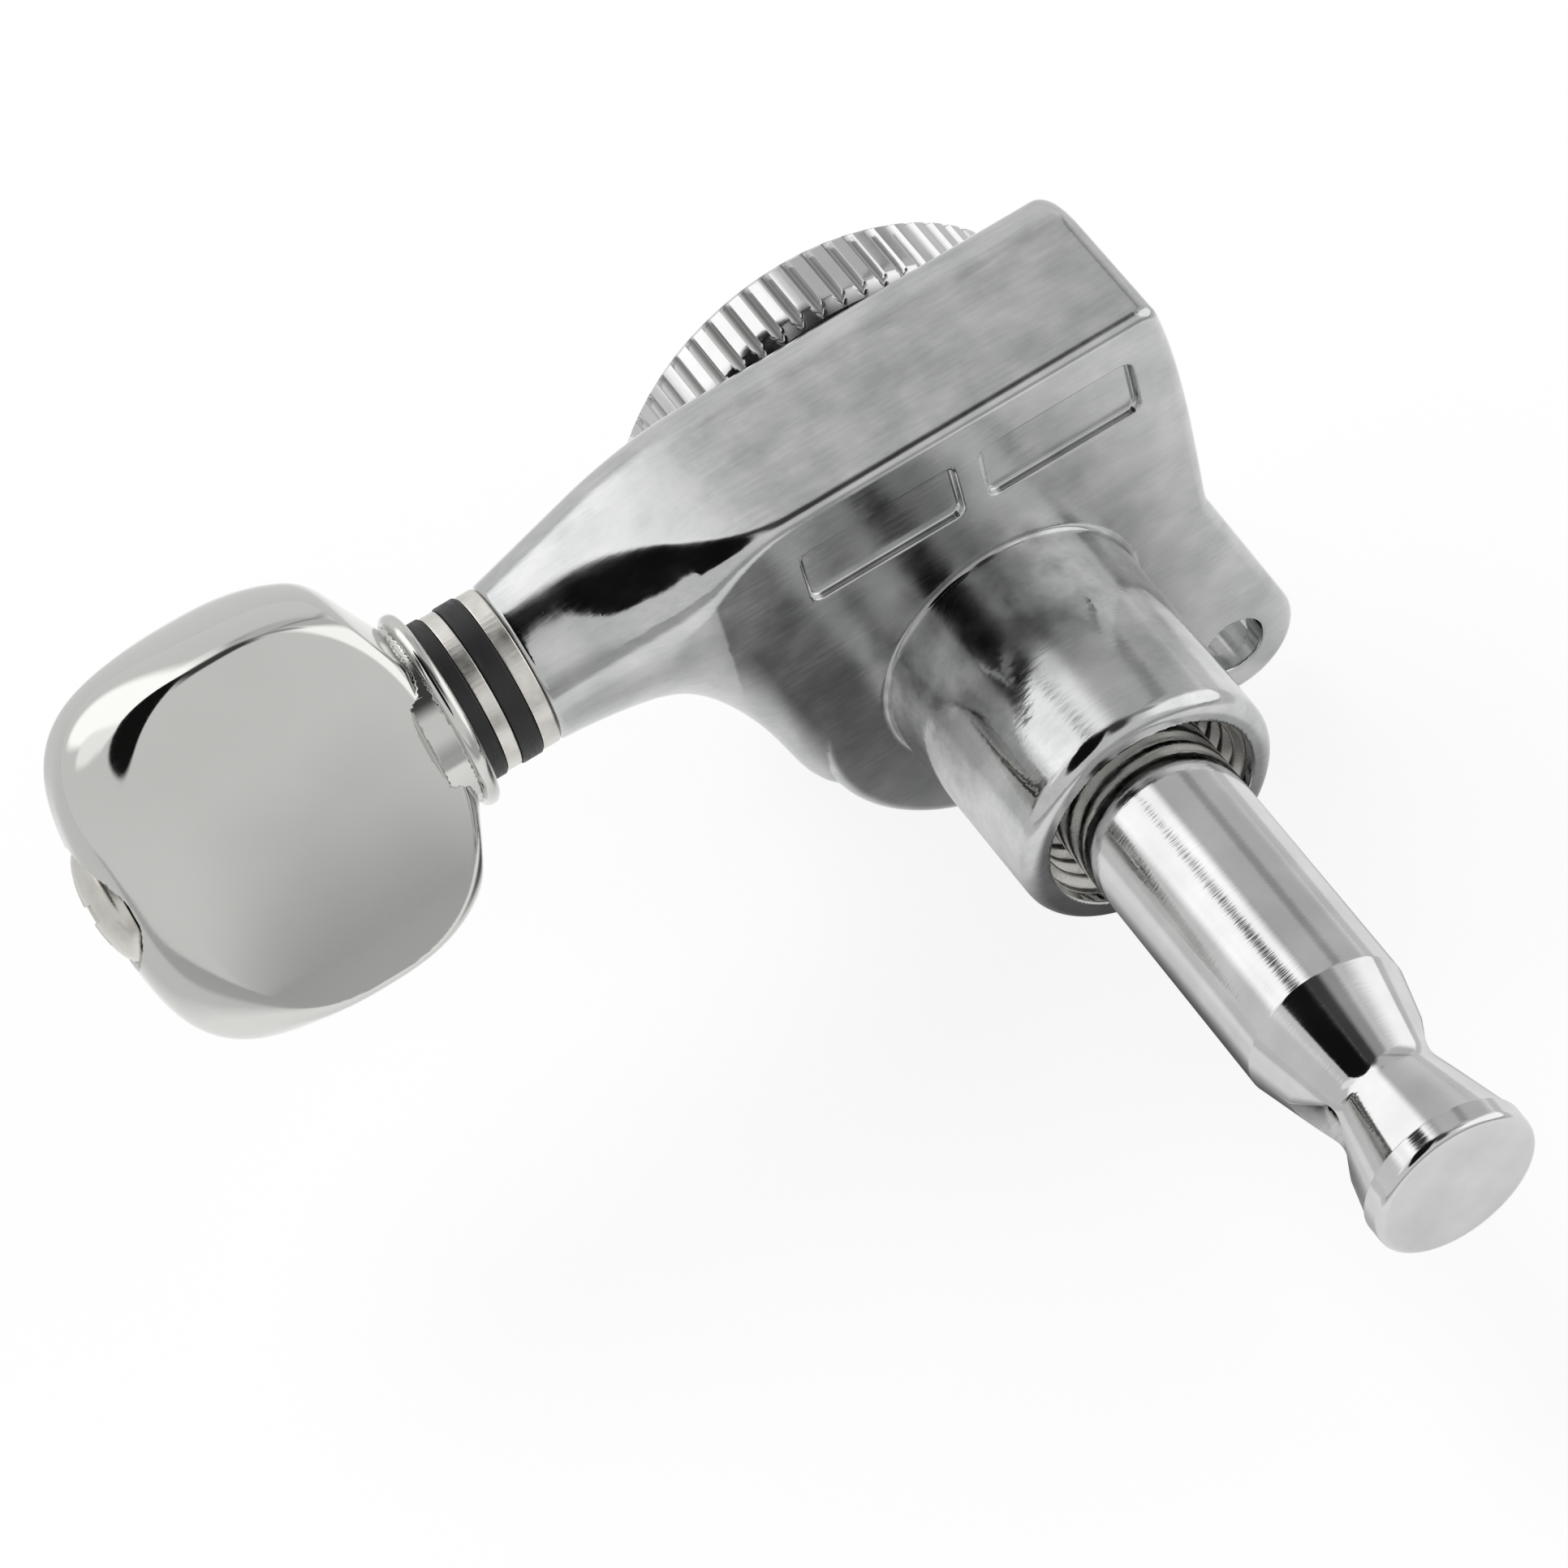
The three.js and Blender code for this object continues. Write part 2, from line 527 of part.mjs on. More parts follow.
// The hollow post: a plain journal, a waist with the string hole, a keyed seat for the wheel and a tail.
function stringPost() {
  const bandStart = -POST_LENGTH + POST_TIP_BAND;
  const seatBack = NUT_FRONT;
  const outside = turnedOnPost([
    [0, -POST_LENGTH],
    [POST_TIP_RADIUS - POST_TIP_ROUND, -POST_LENGTH],
    [POST_TIP_RADIUS - POST_TIP_ROUND / 3, -POST_LENGTH + POST_TIP_ROUND / 4],
    [POST_TIP_RADIUS, -POST_LENGTH + POST_TIP_ROUND],
    [POST_TIP_RADIUS, bandStart],
    [POST_TIP_RADIUS - POST_TIP_LEDGE, bandStart],
    [POST_WAIST_RADIUS, -POST_WAIST],
    [POST_RADIUS, -POST_CONE],
    [POST_RADIUS, WHEEL_FRONT - STACK_GAP],
    [SEAT_RADIUS, WHEEL_FRONT - STACK_GAP],
    [SEAT_RADIUS, seatBack - STACK_GAP],
    [TAIL_RADIUS, seatBack - STACK_GAP],
    [TAIL_RADIUS, TAIL_END],
    [0, TAIL_END],
  ], MEDIUM);
  const keyLow = WHEEL_FRONT;
  const keyHigh = seatBack - STACK_GAP;
  const key = (side) => {
    const reach = POST_RADIUS + OVERRUN;
    const low = new THREE.Vector3(-reach, keyLow, side > 0 ? SEAT_FLAT : -reach);
    const high = new THREE.Vector3(reach, keyHigh, side > 0 ? reach : -SEAT_FLAT);
    return block(low, high);
  };
  const anvil = -POST_WAIST - STRING_HOLE_RADIUS;
  const bore = turnedOnPost([
    [0, anvil],
    [PIN_BORE, anvil],
    [PIN_BORE, STUD_BORE_END],
    [STUD_BORE, STUD_BORE_END],
    [STUD_BORE, TAIL_END + OVERRUN],
    [0, TAIL_END + OVERRUN],
  ], COARSE);
  return outside.subtract(key(1)).subtract(key(-1)).subtract(bore).subtract(stringHole());
}

// The string hole crosses the waist, with a flared mouth on both sides.
function stringHole() {
  const reach = POST_RADIUS + OVERRUN;
  const flareStart = POST_WAIST_RADIUS - STRING_HOLE_FLARE;
  const flare = STRING_HOLE_RADIUS + STRING_HOLE_FLARE + reach - POST_WAIST_RADIUS;
  const profile = [
    [0, -reach],
    [flare, -reach],
    [STRING_HOLE_RADIUS, -flareStart],
    [STRING_HOLE_RADIUS, flareStart],
    [flare, reach],
    [0, reach],
  ].map(([radius, along]) => new THREE.Vector2(radius, along));
  const geometry = new THREE.LatheGeometry(profile, COARSE);
  geometry.rotateZ(-Math.PI / 2);
  geometry.translate(0, -POST_WAIST, 0);
  return solidOf(geometry);
}

// One tooth's flank as an involute: the half angle of the tooth at a radius.
function toothHalfAngle(radius) {
  const base = WHEEL_PITCH_RADIUS * Math.cos(PRESSURE_ANGLE);
  const involute = (angle) => Math.tan(angle) - angle;
  const atPitch = (Math.PI / 2 / TEETH) - BACKLASH / 4 / WHEEL_PITCH_RADIUS;
  const angle = radius > base ? Math.acos(base / radius) : 0;
  return atPitch + involute(PRESSURE_ANGLE) - involute(angle);
}

// The wheel's outline at one depth, turned so that its teeth follow the worm's thread.
function wheelSection(depth) {
  const leadSlope = LEAD / (2 * Math.PI * WORM_PITCH_RADIUS);
  const turn = ((depth - SHAFT_DEPTH) * leadSlope) / WHEEL_PITCH_RADIUS;
  const flankSteps = 3;
  const points = [];
  const add = (radius, angle) => {
    points.push(new THREE.Vector3(radius * Math.sin(angle), depth, radius * Math.cos(angle)));
  };
  for (let tooth = 0; tooth < TEETH; tooth++) {
    const middle = ((tooth + 1 / 2) * 2 * Math.PI) / TEETH + turn;
    const flank = Array.from({ length: flankSteps + 1 }, (_, i) => {
      return THREE.MathUtils.lerp(WHEEL_ROOT_RADIUS, WHEEL_OUTER_RADIUS, i / flankSteps);
    });
    for (const radius of flank) add(radius, middle - toothHalfAngle(radius));
    for (const radius of flank.reverse()) add(radius, middle + toothHalfAngle(radius));
  }
  return points;
}

function wormWheel() {
  const layers = 3;
  const sections = Array.from({ length: layers + 1 }, (_, i) => {
    return wheelSection(THREE.MathUtils.lerp(WHEEL_FRONT, WHEEL_BACK, i / layers));
  });
  const reach = SEAT_RADIUS + OVERRUN;
  const flat = SEAT_FLAT + SEAT_GAP;
  const round = roundBar(
    turnedOnPost, SEAT_RADIUS + SEAT_GAP, WHEEL_FRONT - OVERRUN, WHEEL_BACK + OVERRUN, MEDIUM);
  const low = new THREE.Vector3(-reach, WHEEL_FRONT - reach, -flat);
  const high = new THREE.Vector3(reach, WHEEL_BACK + reach, flat);
  return lofted(sections).subtract(round.intersect(block(low, high)));
}

function thrustWasher() {
  const inner = POST_RADIUS + RUNNING_GAP;
  return tube(turnedOnPost, inner, THRUST_RADIUS, THRUST_FRONT, THRUST_BACK, MEDIUM);
}

// A slightly dished washer that keeps the wheel against its thrust washer.
function springWasher() {
  const inner = SEAT_RADIUS + SEAT_GAP;
  const back = SPRING_FRONT + SPRING_WASHER_THICKNESS;
  const sheet = SPRING_WASHER_THICKNESS / 2;
  return turnedOnPost([
    [inner, SPRING_FRONT + sheet],
    [NUT_RADIUS, SPRING_FRONT],
    [NUT_RADIUS, SPRING_FRONT + sheet],
    [inner, back],
    [inner, SPRING_FRONT + sheet],
  ], MEDIUM);
}

// A round nut with four spanner slots.
function wheelNut() {
  const ring = tube(turnedOnPost, TAIL_RADIUS + SEAT_GAP, NUT_RADIUS, NUT_FRONT, NUT_BACK, MEDIUM);
  const depth = (NUT_RADIUS - TAIL_RADIUS) / 2;
  const slots = [0, 1, 2, 3].map((quarter) => {
    const width = NUT_SLOT;
    const geometry = new THREE.BoxGeometry(width, NUT_THICKNESS + 2 * OVERRUN, 2 * depth);
    geometry.translate(0, (NUT_FRONT + NUT_BACK) / 2, NUT_RADIUS);
    geometry.rotateY((quarter * Math.PI) / 2);
    return solidOf(geometry);
  });
  return slots.reduce((nut, slot) => nut.subtract(slot), ring);
}

// The worm's thread: a trapezoid carried round the shaft, which rises at one end and falls at the other.
function wormThread() {
  const perTurn = 18;
  const steps = WORM_TURNS * perTurn;
  const runOut = perTurn / 2;
  const slope = Math.tan(PRESSURE_ANGLE);
  const halfAtPitch = LEAD / 4 - BACKLASH / 4;
  const foot = WORM_ROOT_RADIUS - SLACK;
  const sections = Array.from({ length: steps + 1 }, (_, i) => {
    const rise = Math.min(1, i / runOut, (steps - i) / runOut);
    const turns = i / perTurn - WORM_TURNS / 2;
    const angle = turns * 2 * Math.PI - Math.PI / 2;
    const middle = turns * LEAD;
    const tip = THREE.MathUtils.lerp(WORM_ROOT_RADIUS, WORM_OUTER_RADIUS, Math.max(rise, 1 / perTurn));
    const halfAt = (radius) => halfAtPitch - (radius - WORM_PITCH_RADIUS) * slope;
    const corner = (radius, side) => new THREE.Vector3(
      middle + side * halfAt(radius),
      SHAFT_DEPTH + radius * Math.cos(angle),
      SHAFT_HEIGHT + radius * Math.sin(angle),
    );
    return [corner(foot, -1), corner(foot, 1), corner(tip, 1), corner(tip, -1)];
  });
  return lofted(sections);
}

// The shaft: tip journal, worm, thrust flange, plain neck and a flatted end inside the button.
function wormShaft() {
  const footShare = 0.35; // half the thread's foot, as a share of its lead
  const wormEnd = (WORM_TURNS / 2 + footShare) * LEAD;
  const tip = SHAFT_BORE_END - SLACK;
  const flange = -NECK_END + NECK_BUSH_LENGTH + SHAFT_THRUST_WASHER + 2 * STACK_GAP;
  const flatStart = -COLLAR_FACE;
  const end = -SOCKET_END + SLACK;
  const bar = turnedOnShaft([
    [0, tip],
    [SHAFT_TIP_RADIUS, tip],
    [SHAFT_TIP_RADIUS, wormEnd],
    [WORM_ROOT_RADIUS, wormEnd],
    [WORM_ROOT_RADIUS, -wormEnd],
    [SHAFT_RADIUS, -wormEnd],
    [SHAFT_RADIUS, flange + SHAFT_FLANGE],
    [SHAFT_FLANGE_RADIUS, flange + SHAFT_FLANGE],
    [SHAFT_FLANGE_RADIUS, flange],
    [SHAFT_RADIUS, flange],
    [SHAFT_RADIUS, end],
    [0, end],
  ], COARSE);
  const flats = [1, -1].map((side) => {
    const inner = SHAFT_HEIGHT + side * SHAFT_FLAT;
    const outer = SHAFT_HEIGHT + side * (SHAFT_RADIUS + OVERRUN);
    const reach = SHAFT_RADIUS + OVERRUN;
    const low = new THREE.Vector3(end - OVERRUN, SHAFT_DEPTH - reach, Math.min(inner, outer));
    const high = new THREE.Vector3(flatStart, SHAFT_DEPTH + reach, Math.max(inner, outer));
    return block(low, high);
  });
  const tapped = roundBar(
    turnedOnShaft, SCREW_RADIUS + SEAT_GAP, end - OVERRUN, end + SCREW_LENGTH, COARSE);
  return flats.reduce((shaft, flat) => shaft.subtract(flat), bar.add(wormThread())).subtract(tapped);
}

function endBush() {
  const back = SHAFT_BORE_END - STACK_GAP;
  const outer = SHAFT_BORE - SEAT_GAP;
  return tube(turnedOnShaft, SHAFT_TIP_RADIUS + RUNNING_GAP, outer, back - END_BUSH_LENGTH, back, COARSE);
}

function neckBush() {
  const outer = SHAFT_BORE - SEAT_GAP;
  const inside = -NECK_END + NECK_BUSH_LENGTH;
  return tube(turnedOnShaft, SHAFT_RADIUS + RUNNING_GAP, outer, -NECK_END, inside, COARSE);
}

// The washer between the neck bush and the shaft's flange.
function shaftThrustWasher() {
  const from = -NECK_END + NECK_BUSH_LENGTH + STACK_GAP;
  const inner = SHAFT_RADIUS + RUNNING_GAP;
  return tube(turnedOnShaft, inner, SHAFT_FLANGE_RADIUS, from, from + SHAFT_THRUST_WASHER, COARSE);
}

// One washer of the stack, by the distance from the post at which it starts.
function washer(start, thickness, radius) {
  const end = STACK_GAP - start - thickness;
  return tube(turnedOnShaft, SHAFT_RADIUS + RUNNING_GAP, radius, end, -start, MEDIUM);
}

// One closed outline of the button at a level, between the face's ellipse and the rim's rounded square.
function buttonSection(faceShare, rimShare, level) {
  const points = 36;
  const bent = (value) => Math.sign(value) * Math.abs(value) ** (2 / RIM_CORNER_POWER);
  return Array.from({ length: points }, (_, i) => {
    const angle = (i / points) * 2 * Math.PI;
    const cosine = Math.cos(angle);
    const sine = Math.sin(angle);
    const narrowing = 1 - (RIM_TAPER * bent(cosine)) / 2;
    const face = new THREE.Vector2(
      -FACE_MIDDLE + FACE_HALF_LENGTH * faceShare * cosine, FACE_HALF_WIDTH * faceShare * sine);
    const rim = new THREE.Vector2(
      -RIM_MIDDLE + RIM_HALF_LENGTH * bent(cosine), RIM_HALF_WIDTH * bent(sine) * narrowing);
    const place = face.lerp(rim, rimShare);
    return turnedWithButton(new THREE.Vector3(place.x, place.y, level));
  });
}

// The button's pillow: a domed face, the rim and the other face.
function buttonPillow() {
  const faceShares = [0.12, 0.4, 0.7, 0.9];
  const levelShares = [1, 0.93, 0.75, 0.45, 0.15, -0.15, -0.45, -0.75, -0.93, -1];
  const domed = (side) => faceShares.map((share) => {
    return buttonSection(share, 0, side * (BUTTON_EDGE_HALF + BUTTON_DOME * (1 - share * share)));
  });
  const rim = levelShares.map((share) => {
    const rimShare = (1 - Math.abs(share) ** RIM_SECTION_POWER) ** (1 / RIM_SECTION_POWER);
    return buttonSection(1, rimShare, share * BUTTON_EDGE_HALF);
  });
  return lofted([...domed(1), ...rim, ...domed(-1).reverse()]);
}

// Carries a point from the button's own frame, where the faces are level, to its place on the shaft.
function turnedWithButton(point) {
  const outward = new THREE.Vector2(-Math.cos(BUTTON_TURN), Math.sin(BUTTON_TURN));
  const down = new THREE.Vector2(-Math.sin(BUTTON_TURN), -Math.cos(BUTTON_TURN));
  return new THREE.Vector3(
    point.x,
    SHAFT_DEPTH + outward.x * point.z + down.x * point.y,
    SHAFT_HEIGHT + outward.y * point.z + down.y * point.y,
  );
}

// The envelope that the button's inner shoulder is turned to, round the shaft. Each row: the distance from
// the collar as a share of the rim's length, the radius as a share of its half width.
const SHOULDER_SHARES = [
  [0, 0.5], [0.02, 0.57], [0.042, 0.65], [0.088, 0.81], [0.135, 0.91], [0.165, 0.96], [0.27, 1.17],
];

function buttonShoulder() {
  const profile = SHOULDER_SHARES.map(([along, radius]) => {
    return [radius * RIM_HALF_WIDTH, -BUTTON_INNER - 2 * along * RIM_HALF_LENGTH];
  });
  const reach = RIM_HALF_WIDTH + BUTTON_EDGE_HALF;
  const far = -BUTTON_OUTER - OVERRUN;
  return turnedOnShaft([[0, -BUTTON_INNER], ...profile, [reach, far], [0, far]], FINE);
}

function button() {
  const groove = -BUTTON_INNER + COLLAR_GROOVE;
  const collar = turnedOnShaft([
    [0, -COLLAR_FACE],
    [COLLAR_RADIUS - COLLAR_ROUND, -COLLAR_FACE],
    [COLLAR_RADIUS, -COLLAR_FACE - COLLAR_ROUND],
    [COLLAR_RADIUS, groove + COLLAR_GROOVE],
    [COLLAR_RADIUS - COLLAR_GROOVE, groove],
    [COLLAR_RADIUS - COLLAR_GROOVE, -BUTTON_INNER - COLLAR_LENGTH],
    [0, -BUTTON_INNER - COLLAR_LENGTH],
  ], MEDIUM);
  const bore = roundBar(turnedOnShaft, SHAFT_RADIUS + SEAT_GAP, -SOCKET_END, -COLLAR_FACE + OVERRUN, COARSE);
  const reach = SHAFT_RADIUS + OVERRUN;
  const flat = SHAFT_FLAT + SEAT_GAP;
  const low = new THREE.Vector3(-SOCKET_END - OVERRUN, SHAFT_DEPTH - reach, SHAFT_HEIGHT - flat);
  const high = new THREE.Vector3(-COLLAR_FACE + reach, SHAFT_DEPTH + reach, SHAFT_HEIGHT + flat);
  const screwHole = roundBar(
    turnedOnShaft, SCREW_RADIUS + SLACK, -BUTTON_OUTER - OVERRUN, -SOCKET_END + OVERRUN, COARSE);
  const spotFace = roundBar(
    turnedOnShaft, SCREW_HEAD_RADIUS + SLACK, -BUTTON_OUTER - OVERRUN, -BUTTON_OUTER + HEAD_SINK, MEDIUM);
  return buttonPillow().intersect(buttonShoulder()).add(collar)
    .subtract(bore.intersect(block(low, high))).subtract(screwHole).subtract(spotFace);
}

// The screw that holds the button: a domed head with a crossed recess.
function buttonScrew() {
  const seat = -BUTTON_OUTER + HEAD_SINK - STACK_GAP;
  const crown = seat - SCREW_HEAD_HEIGHT;
  const domeSteps = 6;
  const dome = Array.from({ length: domeSteps }, (_, i) => {
    const angle = ((i + 1) / domeSteps) * (Math.PI / 2);
    const edge = seat - SCREW_HEAD_EDGE;
    return [SCREW_HEAD_RADIUS * Math.cos(angle), edge + (crown - edge) * Math.sin(angle)];
  }).slice(0, -1);
  const tipX = seat + SCREW_LENGTH;
  const body = turnedOnShaft([
    [0, crown],
    ...dome.reverse(),
    [SCREW_HEAD_RADIUS, seat - SCREW_HEAD_EDGE],
    [SCREW_HEAD_RADIUS, seat],
    [SCREW_RADIUS, seat],
    [SCREW_RADIUS, tipX],
    [0, tipX],
  ], COARSE);
  const slot = (turn) => {
    const geometry = new THREE.BoxGeometry(2 * RECESS_DEPTH, RECESS_WIDTH, RECESS_SPAN);
    geometry.rotateX(turn);
    geometry.translate(crown, SHAFT_DEPTH, SHAFT_HEIGHT);
    return solidOf(geometry);
  };
  return body.subtract(slot(BUTTON_TURN)).subtract(slot(BUTTON_TURN + Math.PI / 2));
}

// The pin that slides down the post, with a blunt conical nose.
function lockPin() {
  const back = STUD_TIP - STACK_GAP;
  const nose = PIN_RADIUS / 3;
  return turnedOnPost([
    [0, PIN_TIP],
    [PIN_RADIUS - nose, PIN_TIP],
    [PIN_RADIUS, PIN_TIP + nose],
    [PIN_RADIUS, back],
    [0, back],
  ], COARSE);
}

// The stud that the thumbwheel carries, screwed into the post's tail.
function thumbwheelStud() {
  const end = THUMB_BACK - THUMB_DISH_DEPTH;
  return turnedOnPost([
    [0, STUD_TIP],
    [STUD_RADIUS - STACK_GAP, STUD_TIP],
    [STUD_RADIUS, STUD_TIP + STACK_GAP],
    [STUD_RADIUS, end],
    [STUD_RADIUS / 2, end + STUD_DOME],
    [0, end + STUD_DOME],
  ], COARSE);
}

// The ribbed outline of the thumbwheel at a radius.
function ribbedOutline() {
  const shape = new THREE.Shape();
  const crestShare = 0.22;
  const rootShare = 0.78;
  const pitch = (2 * Math.PI) / THUMB_RIBS;
  const root = THUMB_RADIUS - THUMB_RIB_DEPTH;
  for (let rib = 0; rib < THUMB_RIBS; rib++) {
    const corners = [
      [THUMB_RADIUS, rib - crestShare],
      [THUMB_RADIUS, rib + crestShare],
      [root, rib + 1 / 2],
    ];
    corners.forEach(([radius, place], i) => {
      const x = radius * Math.cos(place * pitch);
      const z = radius * Math.sin(place * pitch);
      if (rib === 0 && i === 0) shape.moveTo(x, z);
      else shape.lineTo(x, z);
    });
  }
  shape.closePath();
  return shape;
}

// The thumbwheel: ribs round a disc, both edges chamfered, hollow in front where the cover's hub enters.
function thumbwheel() {
  const disc = plate(ribbedOutline(), THUMB_FRONT, THUMB_BACK);
  const root = THUMB_RADIUS - THUMB_RIB_DEPTH;
  const wellRadius = HUB_RADIUS + SLACK + COVER_ROUND;
  const wellFloor = HUB_BACK + LOCK_TRAVEL + SLACK * 2;
  const bore = STUD_RADIUS + SEAT_GAP;
  const blank = turnedOnPost([
    [bore, wellFloor],
    [wellRadius, wellFloor],
    [wellRadius, THUMB_FRONT],
    [root - THUMB_FRONT_CHAMFER / 2, THUMB_FRONT],
    [THUMB_RADIUS + OVERRUN, THUMB_FRONT + THUMB_FRONT_CHAMFER + OVERRUN],
    [THUMB_RADIUS + OVERRUN, THUMB_BACK - THUMB_BACK_CHAMFER - OVERRUN],
    [THUMB_RADIUS - THUMB_BACK_CHAMFER, THUMB_BACK],
    [THUMB_DISH_RADIUS, THUMB_BACK],
    [THUMB_DISH_RADIUS - THUMB_DISH_DEPTH, THUMB_BACK - THUMB_DISH_DEPTH],
    [bore, THUMB_BACK - THUMB_DISH_DEPTH],
    [bore, wellFloor],
  ], FINE);
  return disc.intersect(blank);
}

// Materials.
const chrome = () => new THREE.MeshStandardMaterial({ color: 0xd6d7d6, roughness: 0.14, metalness: 1 });
const satinChrome = () => new THREE.MeshStandardMaterial({ color: 0xc4c6c4, roughness: 0.3, metalness: 1 });
const nickel = () => new THREE.MeshStandardMaterial({ color: 0xcfc8bc, roughness: 0.34, metalness: 1 });
const brass = () => new THREE.MeshStandardMaterial({ color: 0xb08d4b, roughness: 0.35, metalness: 1 });
const bronze = () => new THREE.MeshStandardMaterial({ color: 0x9a6a3c, roughness: 0.45, metalness: 1 });
const steel = () => new THREE.MeshStandardMaterial({ color: 0x8f9294, roughness: 0.35, metalness: 1 });
const blackNylon = () => new THREE.MeshStandardMaterial({ color: 0x222222, roughness: 0.55, metalness: 0 });

const tuner = new THREE.Group();

function addPiece(name, solid, material) {
  const mesh = new THREE.Mesh(geometryOf(solid), material);
  mesh.name = name;
  tuner.add(mesh);
}

addPiece("housing", housing(), satinChrome());
addPiece("back_cover", backCover(), satinChrome());
addPiece("neck_bush", neckBush(), bronze());
addPiece("shaft_end_bush", endBush(), bronze());
addPiece("shaft_thrust_washer", shaftThrustWasher(), nickel());
addPiece("string_post", stringPost(), chrome());
addPiece("worm_wheel", wormWheel(), brass());
addPiece("post_thrust_washer", thrustWasher(), steel());
addPiece("wheel_spring_washer", springWasher(), steel());
addPiece("wheel_nut", wheelNut(), steel());
addPiece("worm_shaft", wormShaft(), steel());
const blackRadius = WASHER_RADIUS + BLACK_OVERSIZE;
addPiece("inner_metal_washer", washer(NECK_END, INNER_METAL_THICKNESS, WASHER_RADIUS), nickel());
addPiece("inner_black_washer", washer(INNER_BLACK_START, INNER_BLACK_THICKNESS, blackRadius), blackNylon());
addPiece("outer_metal_washer", washer(OUTER_METAL_START, OUTER_METAL_THICKNESS, WASHER_RADIUS), nickel());
addPiece("outer_black_washer", washer(OUTER_BLACK_START, OUTER_BLACK_THICKNESS, blackRadius), blackNylon());
addPiece("button", button(), chrome());
addPiece("button_screw", buttonScrew(), nickel());
addPiece("lock_pin", lockPin(), steel());
addPiece("thumbwheel_stud", thumbwheelStud(), steel());
addPiece("thumbwheel", thumbwheel(), chrome());

export default tuner;
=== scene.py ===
# %% [markdown]
# A guitar tuning machine of polished plated metal, seen against white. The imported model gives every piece
# its place and its motion. This script dresses it: the pieces that show get a finer mesh over the same
# form, and every piece gets a finish that is computed, not painted from a picture. Plated metal is mostly
# reflection, so the two things that count are clean surface normals and a well planned studio. That is why
# the castings are made from distance fields, which give exact normals everywhere.

import math
from functools import reduce

import bpy
import numpy as np
from mathutils import Matrix, Vector


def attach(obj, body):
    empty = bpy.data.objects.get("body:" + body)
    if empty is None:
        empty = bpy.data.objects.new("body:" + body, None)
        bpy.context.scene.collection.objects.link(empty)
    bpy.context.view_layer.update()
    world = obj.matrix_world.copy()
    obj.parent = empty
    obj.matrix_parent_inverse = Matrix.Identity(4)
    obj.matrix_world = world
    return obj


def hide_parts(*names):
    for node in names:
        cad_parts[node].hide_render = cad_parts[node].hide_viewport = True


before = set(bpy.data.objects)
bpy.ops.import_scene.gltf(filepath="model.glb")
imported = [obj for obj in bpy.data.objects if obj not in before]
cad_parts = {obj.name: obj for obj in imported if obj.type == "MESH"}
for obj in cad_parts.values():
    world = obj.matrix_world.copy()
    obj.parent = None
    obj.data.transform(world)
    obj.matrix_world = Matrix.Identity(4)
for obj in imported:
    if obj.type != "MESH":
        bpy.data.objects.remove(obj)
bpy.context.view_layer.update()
scene = bpy.context.scene
MM = 0.001

# %% [markdown]
# The camera stands where the photographer's stood. Its three axes and its place were worked out from the
# straight edges of the object, so here they are simply given. The lens is long, which keeps the perspective
# calm.

# %% Camera
CAMERA_RIGHT = Vector((0.84686855, -0.49578203, -0.19238979))
CAMERA_UP = Vector((0.50755235, 0.64550822, 0.57070987))
CAMERA_BACK = Vector((-0.1587585, -0.58096413, 0.79829595))
CAMERA_PLACE = Vector((-42.11430573, -120.12487137, 164.85003827)) * MM
IMAGE_PIXELS = 1932
FOCAL_PIXELS = 7500
SENSOR = 36


def linked(name, data):
    thing = bpy.data.objects.new(name, data)
    scene.collection.objects.link(thing)
    return thing


camera_data = bpy.data.cameras.new("camera")
camera_data.sensor_width = SENSOR
camera_data.lens = FOCAL_PIXELS / IMAGE_PIXELS * SENSOR
camera_data.clip_start = 0.01
camera = linked("camera", camera_data)
axes = Matrix((CAMERA_RIGHT, CAMERA_UP, CAMERA_BACK)).transposed().to_4x4()
camera.matrix_world = Matrix.Translation(CAMERA_PLACE) @ axes
scene.camera = camera
scene.view_settings.view_transform = "Standard"
print(f"camera {CAMERA_PLACE.length:.3f} m from the origin, lens {camera_data.lens:.1f} mm")

# %% [markdown]
# A node tree is easier to read when each node is one line. These small helpers add a node, set its fields
# and join its inputs, whether they are plain values or the outputs of other nodes.

# %% Node helpers
def add_node(tree, kind, inputs=None, **fields):
    node = tree.nodes.new(kind)
    for name, value in fields.items():
        setattr(node, name, value)
    for key, value in (inputs or {}).items():
        socket = node.inputs[key]
        if isinstance(value, bpy.types.NodeSocket):
            tree.links.new(value, socket)
        else:
            socket.default_value = value
    return node


def math_node(tree, operation, first, second=0.0):
    return add_node(tree, "ShaderNodeMath", {0: first, 1: second}, operation=operation).outputs[0]


def plus(tree, first, second):
    return math_node(tree, "ADD", first, second)


def times(tree, first, second):
    return math_node(tree, "MULTIPLY", first, second)


def mixed(tree, share, first, second):
    return add_node(tree, "ShaderNodeMix", {0: share, 2: first, 3: second}).outputs[0]


def mixed_colour(tree, share, first, second):
    return add_node(tree, "ShaderNodeMix", {0: share, 6: first, 7: second}, data_type="RGBA").outputs[2]


def ranged(tree, value, low, high, out_low, out_high, curve="LINEAR"):
    inputs = {0: value, 1: low, 2: high, 3: out_low, 4: out_high}
    return add_node(tree, "ShaderNodeMapRange", inputs, interpolation_type=curve).outputs[0]


def vector_value(tree, operation, vector, other=(0, 0, 0)):
    node = add_node(tree, "ShaderNodeVectorMath", {0: vector, 1: tuple(other)}, operation=operation)
    return node.outputs["Value"]


